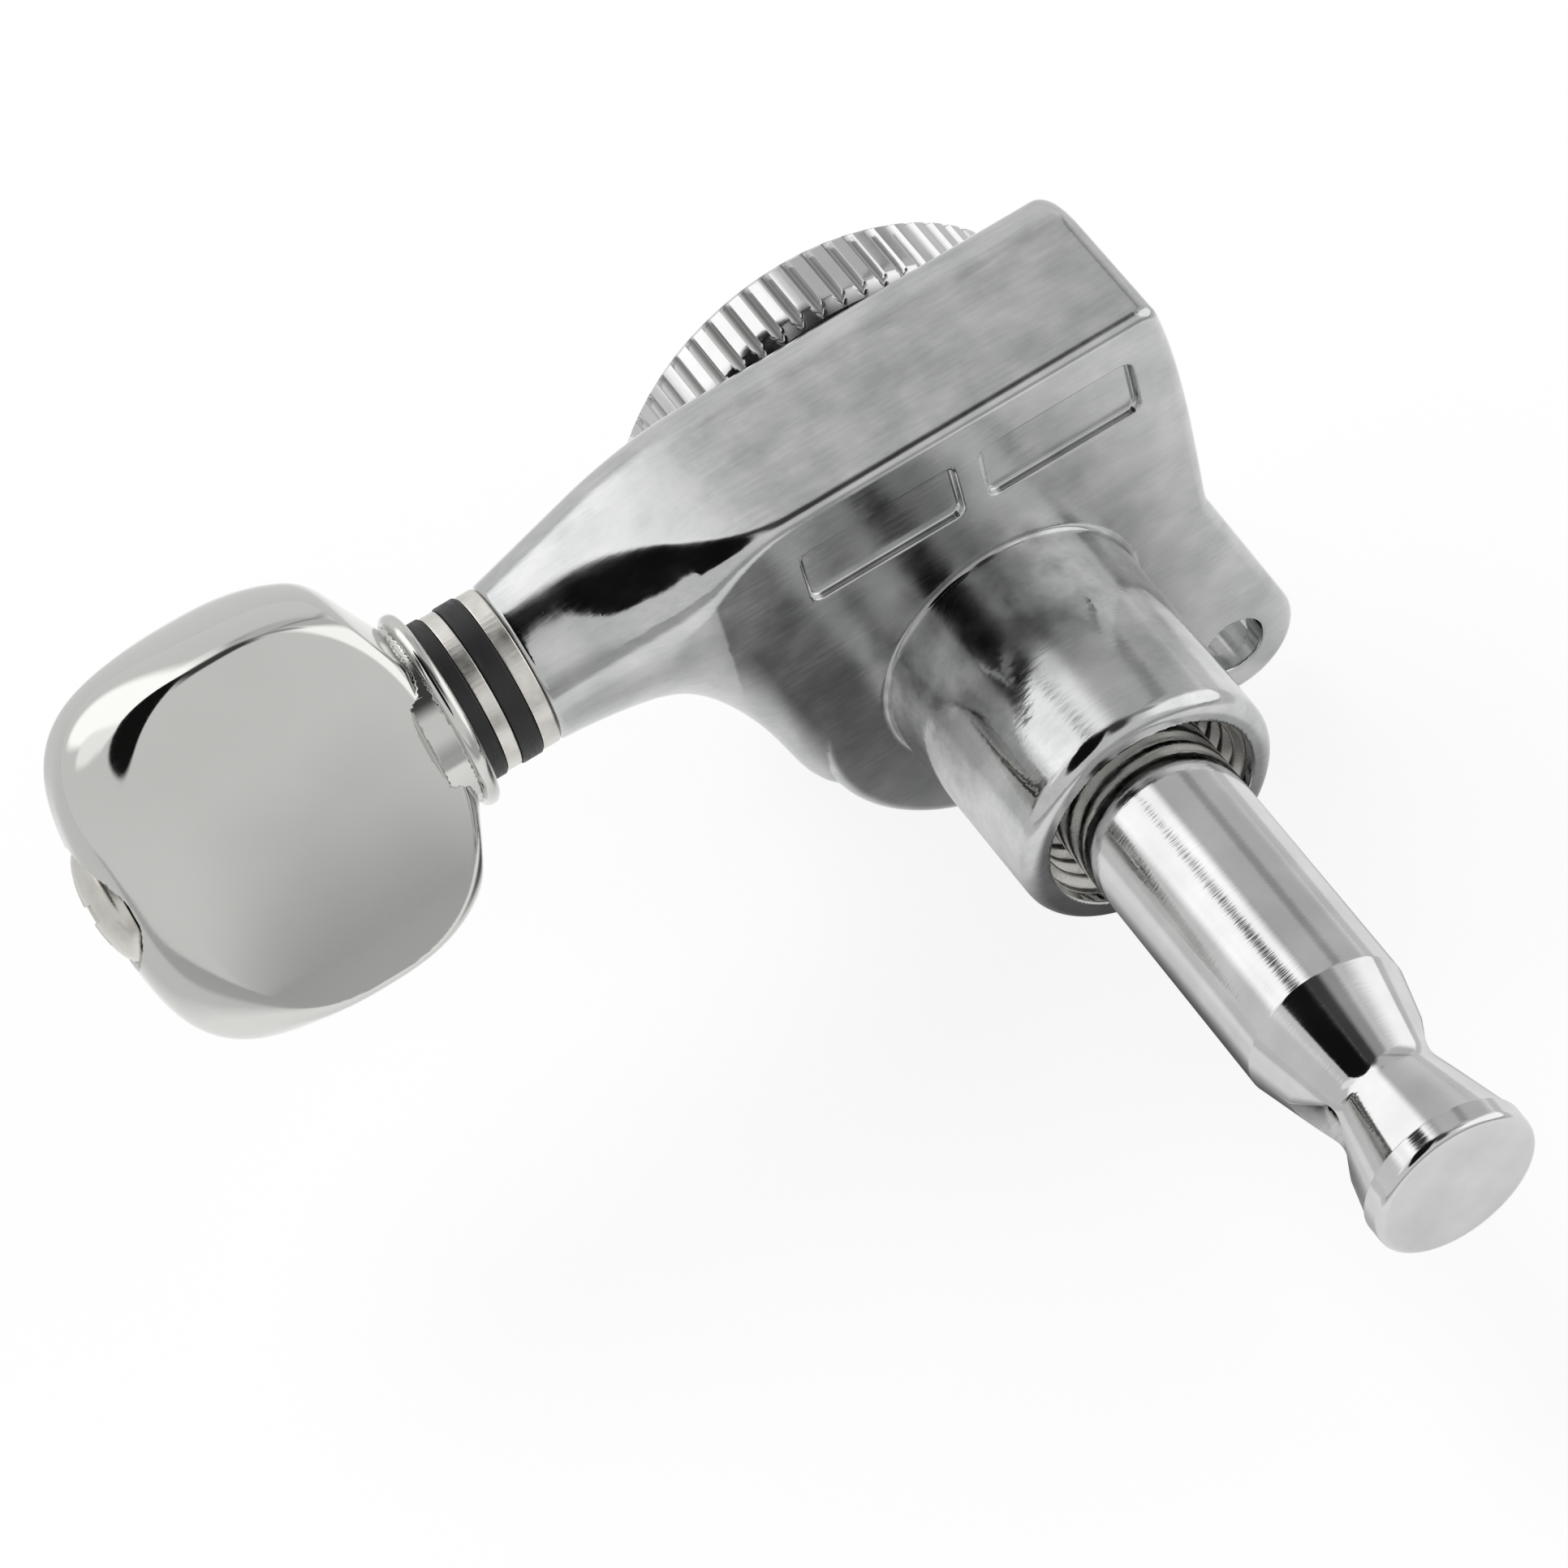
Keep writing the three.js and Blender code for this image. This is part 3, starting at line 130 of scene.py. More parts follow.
# %% [markdown]
# The studio. Polished metal shows what stands round it, so a studio for it is planned by its reflections.
# The camera sees plain white. The metal sees a white tent at level 1, in which each metal comes out about
# as bright as its own colour. Brighter softboxes stand left and right of it, and black cloth hangs round
# the camera: its dark bands are what makes plating look polished. Cards could be placed as objects, but
# they would hide the piece in other views, so the tent is in the world shader.

# %% World
def studio_axes(right_degrees, up_degrees, roll_degrees=0.0):
    azimuth = math.radians(right_degrees)
    height = math.radians(up_degrees)
    level = CAMERA_RIGHT * math.sin(azimuth) + CAMERA_BACK * math.cos(azimuth)
    middle = level * math.cos(height) + CAMERA_UP * math.sin(height)
    side = CAMERA_RIGHT * math.cos(azimuth) - CAMERA_BACK * math.sin(azimuth)
    above = middle.cross(side)
    roll = math.radians(roll_degrees)
    return (
        middle,
        side * math.cos(roll) + above * math.sin(roll),
        above * math.cos(roll) - side * math.sin(roll),
    )


def panel_mask(tree, direction, place, size, squareness, softness, roll):
    middle, side, above = studio_axes(*place, roll)
    depth = math_node(tree, "MAXIMUM", vector_value(tree, "DOT_PRODUCT", direction, middle), 1e-3)
    total = 0.0
    for axis, half in zip((side, above), size):
        offset = math_node(tree, "DIVIDE", vector_value(tree, "DOT_PRODUCT", direction, axis), depth)
        share = math_node(tree, "DIVIDE", math_node(tree, "ABSOLUTE", offset), math.tan(math.radians(half)))
        total = plus(tree, math_node(tree, "POWER", share, squareness), total)
    reach = math_node(tree, "POWER", total, 1 / squareness)
    return ranged(tree, reach, 1 + softness, 1 - softness, 0.0, 1.0, "SMOOTHSTEP")


# Each row: degrees right of the camera and above it, half width and half height in degrees, squareness (2 is an
# oval), softness as a share of the size, roll in degrees, brightness.
PANELS = [
    ((20, 84), (60, 24), 2, 0.3, 0, 0.78),       # the tent's roof
    ((66, -42), (28, 24), 2, 0.55, 0, 0.58),     # a dim corner below
    ((-78, 40), (28, 25), 4, 0.22, 0, 1.9),      # left softbox
    ((86, 27), (50, 30), 4, 0.3, 0, 1.75),       # right softbox
    ((-84, 72), (5, 3), 2, 0.6, 0, 0.6),         # three gaps in the tent
    ((80, 80), (30, 3), 2, 0.6, 0, 0.5),
    ((14, 48), (16, 10), 2, 0.4, -20, 0.5),
    ((-62, 12), (9, 14), 3, 0.3, 0, 1.5),        # a low strip light
    ((-27, 13), (18, 40), 2.4, 0.08, 31, 0.01),  # black cloth in three pieces
    ((-38, 34), (18, 17), 2.4, 0.1, 0, 0.01),
    ((-4, 35), (10, 30), 2.4, 0.45, 34, 0.08),
]


def build_world():
    world = bpy.data.worlds.new("studio")
    scene.world = world
    world.use_nodes = True
    tree = world.node_tree
    tree.nodes.clear()
    direction = add_node(tree, "ShaderNodeTexCoord").outputs["Generated"]
    tone = 1.0
    for *panel, brightness in PANELS:
        tone = mixed(tree, panel_mask(tree, direction, *panel), tone, brightness)
    rays = add_node(tree, "ShaderNodeLightPath")
    seen = mixed(tree, rays.outputs["Is Camera Ray"], tone, 1.0)
    background = add_node(tree, "ShaderNodeBackground", {"Strength": seen})
    add_node(tree, "ShaderNodeOutputWorld", {"Surface": background.outputs[0]})


build_world()
print("studio panels:", len(PANELS))

# %% [markdown]
# A pale sheet lies well below the piece. The photograph is white all round the object, so to the camera the
# sheet is nearly white and keeps only a soft shadow. The metal sees more: a round patch of painted shadow
# under the housing, a dark grey in the sheet's colour, which darkens the housing's front in its reflection,
# and a sheet that gets darker far away. One square with a procedural material does all of this, with no
# edges that would show in the metal.

# %% Floor
FLOOR_LEVEL = -10.5 * MM
FLOOR_HALF = 400 * MM
# Painted shadow: a round patch under the housing where the sheet's colour falls to dark grey, between two radii
# in mm.
PAINTED_SHADOW_MIDDLE = (-1 * MM, -12 * MM, FLOOR_LEVEL)
PAINTED_SHADOW_EDGE = (3, 15)
PAINTED_SHADOW_TONE = 0.2
SHEET_TONE = 0.95
CAMERA_TONE = 0.25
CAMERA_GLOW = 0.8
MIRROR_GLOW = 0.3


def build_floor():
    corners = [(-1, -1), (1, -1), (1, 1), (-1, 1)]
    mesh = bpy.data.meshes.new("floor")
    mesh.from_pydata([(x * FLOOR_HALF, y * FLOOR_HALF, FLOOR_LEVEL) for x, y in corners], [], [(0, 1, 2, 3)])
    floor = linked("floor", mesh)
    material = bpy.data.materials.new("white_sheet")
    material.use_nodes = True
    tree = material.node_tree
    tree.nodes.clear()
    rays = add_node(tree, "ShaderNodeLightPath")
    seen, mirrored = rays.outputs["Is Camera Ray"], rays.outputs["Is Glossy Ray"]
    place = add_node(tree, "ShaderNodeNewGeometry").outputs["Position"]
    away = vector_value(tree, "DISTANCE", place, PAINTED_SHADOW_MIDDLE)
    forward = vector_value(tree, "DOT_PRODUCT", place, (0, -1, 0))
    # The sheet's tone, with the painted shadow under the housing and darker far away.
    sheet = ranged(tree, away, PAINTED_SHADOW_EDGE[0] * MM, PAINTED_SHADOW_EDGE[1] * MM, PAINTED_SHADOW_TONE, SHEET_TONE, "SMOOTHSTEP")
    for distance, start, end, share in ((forward, 50, 70, 0.75), (away, 42, 60, 0.78)):
        sheet = times(tree, sheet, ranged(tree, distance, start * MM, end * MM, 1.0, share))
    matte = add_node(tree, "ShaderNodeBsdfDiffuse", {"Color": mixed(tree, seen, sheet, CAMERA_TONE)})
    # The glow that the metal sees follows the sheet's tone, so it fades in the painted shadow too.
    lit = times(tree, math_node(tree, "POWER", sheet, 3), MIRROR_GLOW)
    glow = plus(tree, times(tree, seen, CAMERA_GLOW), times(tree, mirrored, lit))
    white = add_node(tree, "ShaderNodeEmission", {"Strength": glow})
    both = add_node(tree, "ShaderNodeAddShader", {0: matte.outputs[0], 1: white.outputs[0]})
    add_node(tree, "ShaderNodeOutputMaterial", {"Surface": both.outputs[0]})
    mesh.materials.append(material)


build_floor()
print(f"floor {-FLOOR_LEVEL / MM:.1f} mm below the post's axis")

# %% [markdown]
# The castings are described by distance fields: a function that says, for every point, how far it is from
# the surface, negative inside. Two fields join by taking the smaller value and one cuts another by taking
# the larger, and a little arithmetic at the meeting rounds the edge as plating and polishing do. A modelled
# fillet would need loops laid by hand at every meeting, so the field is the shorter way to an even, cast
# look.

# %% Fields
def round_join(first, second, radius):
    reach = np.hypot(np.maximum(radius - first, 0), np.maximum(radius - second, 0))
    return np.maximum(radius, np.minimum(first, second)) - reach


def round_common(first, second, radius):
    return -round_join(-first, -second, radius)


def oval_corner(first, second, first_radius, second_radius):
    across = np.maximum(first + first_radius, 0) / first_radius
    up = np.maximum(second + second_radius, 0) / second_radius
    corner = (np.hypot(across, up) - 1) * np.minimum(first_radius, second_radius)
    return np.where((across > 0) & (up > 0), corner, np.maximum(first, second))


def soft_minimum(first, second, width):
    near = np.maximum(width - np.abs(first - second), 0) / width
    return np.minimum(first, second) - near * near * width / 4


def soft_common(first, second, width):
    return -soft_minimum(-first, -second, width)


def smooth_table(places, values, wanted):
    """Values between the rows of a table, along a curve without corners."""
    places, values = np.asarray(places, float), np.asarray(values, float)
    slopes = np.gradient(values, places)
    wanted = np.clip(wanted, places[0], places[-1])
    row = np.clip(np.searchsorted(places, wanted) - 1, 0, len(places) - 2)
    gap = places[row + 1] - places[row]
    t = (wanted - places[row]) / gap
    start = (1 + 2 * t) * (1 - t) ** 2 * values[row] + t * (1 - t) ** 2 * gap * slopes[row]
    end = t * t * (3 - 2 * t) * values[row + 1] + t * t * (t - 1) * gap * slopes[row + 1]
    return start + end


# %% [markdown]
# To turn a field into a mesh, the space is divided into small cells. Every cell that the surface passes
# through gets one vertex, and every grid edge that it crosses gets one face. The vertices then slide onto
# the exact surface, and the field's slope there is the normal that the light uses. A decimate modifier
# afterwards takes faces away where the form is flat.

# %% Skin of a field
CORNERS = np.array([[i >> 2 & 1, i >> 1 & 1, i & 1] for i in range(8)])
CELL_EDGES = [(a, b) for a in range(8) for b in range(a + 1, 8) if bin(a ^ b).count("1") == 1]


def field_slope(field, points, gap=0.01):
    slope = np.empty_like(points)
    for axis in range(3):
        ahead, behind = points.copy(), points.copy()
        ahead[:, axis] += gap
        behind[:, axis] -= gap
        slope[:, axis] = (field(*ahead.T) - field(*behind.T)) / (2 * gap)
    return slope


def settle(field, points, limit, rounds=4):
    for _ in range(rounds):
        value = field(*points.T)
        slope = field_slope(field, points)
        square = np.maximum((slope * slope).sum(1), 1e-4)
        move = slope * (value / square)[:, None]
        length = np.linalg.norm(move, axis=1, keepdims=True)
        points = points - move * np.minimum(1, limit / np.maximum(length, 1e-9))
    slope = field_slope(field, points)
    return points, slope / np.maximum(np.linalg.norm(slope, axis=1, keepdims=True), 1e-9)


def cells_and_faces(field, low, high, step):
    counts = [int(math.ceil((b - a) / step)) + 1 for a, b in zip(low, high)]
    x, y, z = (a + step * np.arange(n) for a, n in zip(low, counts))
    values = field(x[:, None, None], y[None, :, None], z[None, None, :]).astype(np.float32)
    inside = values < 0
    total = sum(
        inside[tuple(slice(shift, count - 1 + shift) for shift, count in zip(corner, counts))].astype(np.uint8)
        for corner in CORNERS)
    cells = np.argwhere((total > 0) & (total < 8))
    number = np.full(total.shape, -1, np.int32)
    number[tuple(cells.T)] = np.arange(len(cells))
    at = [values[tuple((cells + c).T)] for c in CORNERS]
    sums, hits = np.zeros((len(cells), 3)), np.zeros(len(cells))
    for a, b in CELL_EDGES:
        crossed = (at[a] < 0) != (at[b] < 0)
        share = np.where(crossed, at[a] / np.where(crossed, at[a] - at[b], 1), 0)[:, None]
        sums += crossed[:, None] * (CORNERS[a] + share * (CORNERS[b] - CORNERS[a]))
        hits += crossed
    points = np.array(low) + step * (cells + sums / hits[:, None])
    faces = []
    for axis in range(3):
        u, v = (axis + 1) % 3, (axis + 2) % 3
        here, there = [slice(1, -1)] * 3, [slice(1, -1)] * 3
        here[axis], there[axis] = slice(0, -1), slice(1, None)
        first, second = inside[tuple(here)], inside[tuple(there)]
        place = np.argwhere(first != second)
        outward = first[tuple(place.T)]
        place[:, u] += 1
        place[:, v] += 1
        step_u, step_v = np.eye(3, dtype=int)[u], np.eye(3, dtype=int)[v]
        ring = [number[tuple((place - shift).T)] for shift in (0 * step_u, step_u, step_u + step_v, step_v)]
        quads = np.stack(ring, 1)
        faces.append(np.where(outward[:, None], quads, quads[:, ::-1]))
    return points, np.concatenate(faces)


def mesh_from(name, points, faces, normals=None):
    mesh = bpy.data.meshes.new(name)
    rows = faces.tolist() if isinstance(faces, np.ndarray) else faces
    mesh.from_pydata([tuple(p) for p in np.asarray(points) * MM], [], rows, shade_flat=False)
    if normals is not None:
        mesh.normals_split_custom_set_from_vertices([tuple(n) for n in normals])
    return mesh


def new_piece(name, mesh, body, nodes=()):
    piece = linked(name, mesh)
    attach(piece, body)
    if nodes:
        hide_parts(*nodes)
    return piece


def applied(mesh, name, kind, **fields):
    """The mesh after one modifier."""
    holder = linked(name, mesh)
    modifier = holder.modifiers.new(kind.lower(), kind)
    for key, value in fields.items():
        setattr(modifier, key, value)
    graph = bpy.context.evaluated_depsgraph_get()
    result = bpy.data.meshes.new_from_object(holder.evaluated_get(graph))
    bpy.data.objects.remove(holder)
    return result


def skinned(name, field, low, high, step, most_triangles, placed=None):
    points, faces = cells_and_faces(field, low, high, step)
    points, _ = settle(field, points, step / 2)
    mesh = mesh_from(name, points, faces)
    share = most_triangles / (2 * len(faces))
    if share < 1:
        mesh = applied(mesh, name, "DECIMATE", ratio=share)
    points = np.empty(len(mesh.vertices) * 3)
    mesh.vertices.foreach_get("co", points)
    points, normals = settle(field, points.reshape(-1, 3) / MM, step / 4, rounds=2)
    corners = [tuple(p.vertices) for p in mesh.polygons]
    if placed:
        points, normals = placed(points), placed(normals, turn_only=True)
    print(f"{name}: {len(points)} vertices, {len(corners)} faces")
    return mesh_from(name, points, corners, normals)


# %% [markdown]
# The case is one zinc casting: a flat plate body round the post, a neck round the shaft that flares into
# it, a barrel that goes through the headstock and one screw ear. Seen from the front its outline is a round
# end below and a flat wall above, whose far side swells a little. The wall's back edge is broadly rounded.
# Higher up, the near side stands a little inside the neck, so that the two forms merge without a seam.

# %% Case body
BODY_DEPTH = 7.7
BODY_RADIUS = 7.95
BODY_OFFSET = 0.3
BODY_TOP = 11.95
SIDE_ROUND = 0.7
BACK_ROUND = 0.5
FRONT_ROUND = 0.4
TOP_BACK = (2.75, 1.85)
SWELL = (0.00764, -0.000858)
TUCK = 2.15


def body_field(x, y, z):
    height = np.clip(z, 0, BODY_TOP)
    right = BODY_OFFSET + BODY_RADIUS + SWELL[0] * height ** 2 + SWELL[1] * height ** 3
    tucked = np.clip((z - 1) / 4, 0, 1)
    left = BODY_OFFSET - BODY_RADIUS + TUCK * tucked * tucked * (3 - 2 * tucked)
    side = np.maximum(x - right, left - x)
    outline = np.where(z < 0, np.hypot(x - BODY_OFFSET, z) - BODY_RADIUS, side)
    section = oval_corner(y - BODY_DEPTH, z - BODY_TOP, *TOP_BACK)
    upper = round_common(outline, section, SIDE_ROUND)
    lower = round_common(outline, section, BACK_ROUND)
    share = np.clip(z / BODY_TOP, 0, 1)
    return round_common(lower + (upper - lower) * share, -y, FRONT_ROUND)


# %% [markdown]
# The neck is a stack of sections along the shaft: round where the washers meet it, and opening into the
# body's own section. Lofting curves by hand is the usual way, but tables are easier to fit to a photograph.
# They give, at shares of the neck's length, how far its lower edge has dropped, how round it is and how its
# two front edges are rounded. The upper one stays soft and only sharpens close to the body. The lower one
# turns into a long, shallow oval, which makes the shading fade gently from the neck into the flat front.

# %% Neck
SHAFT_DEPTH = 3.72
SHAFT_HEIGHT = 8.2
NECK_RADIUS = 2.9
NECK_END = 15.7
FLARE_START = 6.6
FLARE_DROP = 8.6
NECK_FACE_ROUND = 0.22
ALONG = [0, 0.165, 0.319, 0.436, 0.521, 0.6, 0.671, 0.737, 0.777, 0.818, 0.888, 0.934, 1]
DROP = [0, 0.006, 0.02, 0.03, 0.057, 0.13, 0.252, 0.42, 0.559, 0.708, 0.86, 0.919, 1]
ROUNDNESS = [1, 0.93, 0.8, 0.62, 0.45, 0.31, 0.2, 0.13, 0.1, 0.09, 0.09, 0.09, 0.09]
UPPER_ALONG = [0, 0.45, 0.6, 0.7, 0.79, 0.87, 0.94, 1.0, 1.12]
UPPER_EDGE = [2.9, 2.75, 2.3, 1.7, 1.15, 0.78, 0.56, 0.45, FRONT_ROUND]
LOWER_ALONG = [0, 0.3, 0.45, 0.6, 0.7, 0.8, 0.9, 1.0, 1.12]
LOWER_EDGE = [2.9, 2.5, 1.9, 1.25, 1.0, 0.8, 0.6, 0.45, FRONT_ROUND]
LOWER_RISE = [2.9, 3.0, 3.6, 4.8, 5.5, 5.5, 3.8, 3.0, 3.0]
RISE_END = 0.75
RISE_SOFT = 0.4
SET_BACK_START = 0.2


def neck_field(x, y, z):
    along = (x + NECK_END) / (NECK_END - FLARE_START)
    drop = smooth_table(ALONG, DROP, along)
    roundness = smooth_table(ALONG, ROUNDNESS, along)
    rise = soft_minimum(along / RISE_END, 1, RISE_SOFT)
    set_back = np.maximum(0, (roundness - SET_BACK_START) / (1 - SET_BACK_START))
    mix = lambda a, b: a + (b - a) * rise
    front = (SHAFT_DEPTH - NECK_RADIUS) * set_back - y
    back = y - mix(SHAFT_DEPTH + NECK_RADIUS, BODY_DEPTH)
    top = z - mix(SHAFT_HEIGHT + NECK_RADIUS, BODY_TOP)
    bottom = SHAFT_HEIGHT - NECK_RADIUS - FLARE_DROP * drop - z
    lower = smooth_table(LOWER_ALONG, LOWER_EDGE, along), smooth_table(LOWER_ALONG, LOWER_RISE, along)
    upper_edge = smooth_table(UPPER_ALONG, UPPER_EDGE, along)
    low_edge = BACK_ROUND + (NECK_RADIUS - BACK_ROUND) * roundness
    section = reduce(np.maximum, [
        round_common(front, top, upper_edge),
        oval_corner(front, bottom, *lower),
        oval_corner(back, top, mix(NECK_RADIUS, TOP_BACK[0]), mix(NECK_RADIUS, TOP_BACK[1])),
        round_common(back, bottom, low_edge),
    ])
    ended = round_common(section, -NECK_END - x, NECK_FACE_ROUND)
    return np.maximum(ended, x + FLARE_START - 2)


# %% [markdown]
# The ear is a thin tab that leaves the body in two straight tangents and ends round about its screw hole.
# Its field holds the body's round wall too, for the fillet at its root, so it is cut off inside the body.
# The barrel is turned, with a little draft and a well rounded mouth.

# %% Ear and barrel
EAR_RADIUS = 2.55
EAR_THICKNESS = 2.2
EAR_PLACE = (7.95, -7.0)
EAR_HOLE = 1.2
EAR_FILLET = 0.5
EAR_EDGE = 0.3
BARREL_RADIUS = 5.0
BARREL_DRAFT = 0.1
BARREL_LENGTH = 9.0
BARREL_ROUND = 0.6
BARREL_FILLET = 0.22


def ear_field(x, y, z):
    run_x, run_z = EAR_PLACE[0] - BODY_OFFSET, EAR_PLACE[1]
    length = math.hypot(run_x, run_z)
    sine = (BODY_RADIUS - EAR_RADIUS) / length
    cosine = math.sqrt(1 - sine * sine)
    ahead = ((x - BODY_OFFSET) * run_x + z * run_z) / length
    aside = np.abs((x - BODY_OFFSET) * run_z - z * run_x) / length
    turn = ahead * cosine - aside * sine
    near = np.hypot(aside, ahead) - BODY_RADIUS
    far = np.hypot(aside, ahead - length) - EAR_RADIUS
    straight = aside * cosine + ahead * sine - BODY_RADIUS
    hull = np.where(turn < 0, near, np.where(turn > cosine * length, far, straight))
    wall = np.hypot(x - BODY_OFFSET, z) - BODY_RADIUS
    tab = round_common(hull, round_join(wall, y - EAR_THICKNESS, EAR_FILLET), EAR_EDGE)
    return round_common(np.maximum(tab, y - BODY_DEPTH + 1), -y, FRONT_ROUND)


def barrel_field(x, y, z):
    radius = BARREL_RADIUS + BARREL_DRAFT * y / BARREL_LENGTH
    turned = round_common(np.hypot(x, z) - radius, -BARREL_LENGTH - y, BARREL_ROUND)
    return np.maximum(turned, y - 1)


# %% [markdown]
# The hollows: the gear chamber with its wider mouth, the shaft's bore, the post's bearing, the barrel's
# bore, the ear's hole and two shallow panels in the front. They are cut in one go, and every edge gets the
# same small round.

# %% Hollows and the finished case
CHAMBER_RADIUS = 6.9
COVER_STEP = 0.2
COVER_THICKNESS = 0.8
FRONT_WALL = 1.3
SHAFT_BORE = 2.5
SHAFT_BORE_END = 7.0
POST_RADIUS = 3.0
RUNNING_GAP = 0.06
BARREL_BORE = 3.95
BARREL_FLOOR = 1.2
PANEL = (5.95, 2.5)
PANEL_WEB = 1.0
PANEL_SHIFT = 0.12
PANEL_DEPTH = 0.3
PANEL_CORNER = 0.4
PANEL_FROM_TOP = 1.85
PANEL_FOOT = 0.14
EDGE_ROUND = 0.08


def panel_field(x, y, z, left):
    half_width, half_height = PANEL[0] / 2, PANEL[1] / 2
    middle_z = BODY_TOP - PANEL_FROM_TOP - half_height
    across = np.abs(x - left - half_width) - half_width
    up = np.abs(z - middle_z) - half_height
    return round_common(round_common(across, up, PANEL_CORNER), y - PANEL_DEPTH, PANEL_FOOT)


def hollows_field(x, y, z):
    radius = np.hypot(x, z)
    parts = [
        np.maximum(radius - CHAMBER_RADIUS, FRONT_WALL - y),
        np.maximum(radius - CHAMBER_RADIUS - COVER_STEP, BODY_DEPTH - COVER_THICKNESS - y),
        np.maximum(np.hypot(y - SHAFT_DEPTH, z - SHAFT_HEIGHT) - SHAFT_BORE, x - SHAFT_BORE_END),
        np.maximum(radius - POST_RADIUS - RUNNING_GAP, y - FRONT_WALL - 1),
        np.maximum(radius - BARREL_BORE, y + BARREL_FLOOR),
        np.hypot(x - EAR_PLACE[0], z - EAR_PLACE[1]) - EAR_HOLE,
        panel_field(x, y, z, PANEL_SHIFT + PANEL_WEB / 2),
        panel_field(x, y, z, PANEL_SHIFT - PANEL_WEB / 2 - PANEL[0]),
    ]
    return reduce(np.minimum, parts)


def case_field(x, y, z):
    solid = np.minimum(np.minimum(body_field(x, y, z), neck_field(x, y, z)), ear_field(x, y, z))
    shell = round_join(solid, barrel_field(x, y, z), BARREL_FILLET)
    return round_common(shell, -hollows_field(x, y, z), EDGE_ROUND)


case_mesh = skinned("case", case_field, (-16, -9.3, -9.9), (10.8, 8.0, 12.3), 0.115, 185_000)
case = new_piece("case", case_mesh, "housing_body", ["housing"])

# %% [markdown]
# Turned pieces need no field: a profile swept round an axis is exact and light. Each corner of the profile
# gets a small arc, and the normals come from the profile itself, so that flat faces stay flat and the arcs
# catch a thin line of light, as on a real lathe-cut edge.

# %% Turned pieces
ARC_STEPS = 5


def rounded_profile(corners):
    """Points and normals of a closed or open profile. Each row: radius, place along the axis, round."""
    rows = [(np.array(c[:2], float), c[2] if len(c) > 2 else 0.0) for c in corners]
    points, normals = [], []
    for i, (corner, round_) in enumerate(rows):
        before = rows[i - 1][0] - corner if i > 0 else None
        after = rows[i + 1][0] - corner if i + 1 < len(rows) else None
        if before is None or after is None:
            line = -before if after is None else after
            line = line / np.linalg.norm(line)
            points.append(corner)
            normals.append(np.array([line[1], -line[0]]))
            continue
        length_in, length_out = np.linalg.norm(before), np.linalg.norm(after)
        before, after = before / length_in, after / length_out
        turn = math.acos(float(np.clip(before @ after, -1, 1)))
        reach = round_ / math.tan(turn / 2)
        reach = min(reach, 0.49 * length_in, 0.49 * length_out)
        start, end = corner + before * reach, corner + after * reach
        for t in np.arange(ARC_STEPS + 1) / ARC_STEPS:
            points.append((1 - t) ** 2 * start + 2 * t * (1 - t) * corner + t * t * end)
            line = -before * (1 - t) + after * t
            line = line / np.linalg.norm(line)
            normals.append(np.array([line[1], -line[0]]))
    return np.array(points), np.array(normals)


def swept(points, normals, segments, about):
    """Vertices, faces and normals of a profile swept round the post's or the shaft's axis."""
    angles = np.arange(segments) / segments * 2 * math.pi
    cosine, sine = np.cos(angles), np.sin(angles)
    closed = np.allclose(points[0], points[-1]) and points[0][0] > 0
    if closed:
        points, normals = points[:-1], normals[:-1]
    vertices, directions, first = [], [], []
    for (radius, along), (out, forward) in zip(points, normals):
        first.append(len(vertices))
        for c, s in [(0.0, 0.0)] if radius < 1e-6 else zip(cosine, sine):
            vertices.append((radius * c, along, radius * s))
            directions.append((out * c, forward, out * s))
    first.append(len(vertices))
    faces = []
    for row in range(len(points) - 1 + closed):
        a, b = first[row], first[(row + 1) % len(points)]
        one, other = points[row][0] < 1e-6, points[(row + 1) % len(points)][0] < 1e-6
        for i in range(segments):
            j = (i + 1) % segments
            if one:
                faces.append((a, b + i, b + j))
            elif other:
                faces.append((a + i, b, a + j))
            else:
                faces.append((a + i, b + i, b + j, a + j))
    vertices, directions = np.array(vertices), np.array(directions)
    if about == "shaft":
        vertices = vertices[:, [1, 0, 2]] + np.array([0, SHAFT_DEPTH, SHAFT_HEIGHT])
        directions = directions[:, [1, 0, 2]]
    return vertices, faces, directions


def turned_mesh(name, corners, segments=128, about="post"):
    points, normals = rounded_profile(corners)
    vertices, faces, directions = swept(points, normals, segments, about)
    turns = [
        np.cross(vertices[f[1]] - vertices[f[0]], vertices[f[2]] - vertices[f[0]]) @ directions[f[0]]
        for f in faces[::segments // 2]]
    if sum(turns) < 0:
        faces = [face[::-1] for face in faces]
    print(f"{name}: {len(faces)} faces")
    return mesh_from(name, vertices, faces, directions)


# %% [markdown]
# The barrel is threaded inside for the bushing that clamps the tuner to the headstock. A glimpse of that
# thread shows on both sides of the post. A screw modifier could make it, but a helix is also just a tube
# whose radius depends on the turn and the depth together, so it is made from a stack of rings.

# %% Barrel thread
THREAD_PITCH = 0.75
THREAD_DEPTH = 0.32
THREAD_RANGE = (-8.55, -2.2)
THREAD_RUN_OUT = 0.25
THREAD_GRID = (130, 144)


def ring_points(radius, y, turn):
    radius, y, turn = np.broadcast_arrays(radius, y, turn)
    return np.stack([radius * np.cos(turn), y, radius * np.sin(turn)], -1)


def looped_mesh(name, rings):
    """A mesh of rings that are each joined to the next one, and the last to the first."""
    at = np.arange(rings.shape[0] * rings.shape[1]).reshape(rings.shape[:2])
    after = np.roll(at, -1, 0)
    faces = np.stack([at, np.roll(at, -1, 1), np.roll(after, -1, 1), after], 2).reshape(-1, 4)
    print(f"{name}: {len(faces)} faces")
    return mesh_from(name, rings.reshape(-1, 3), faces)


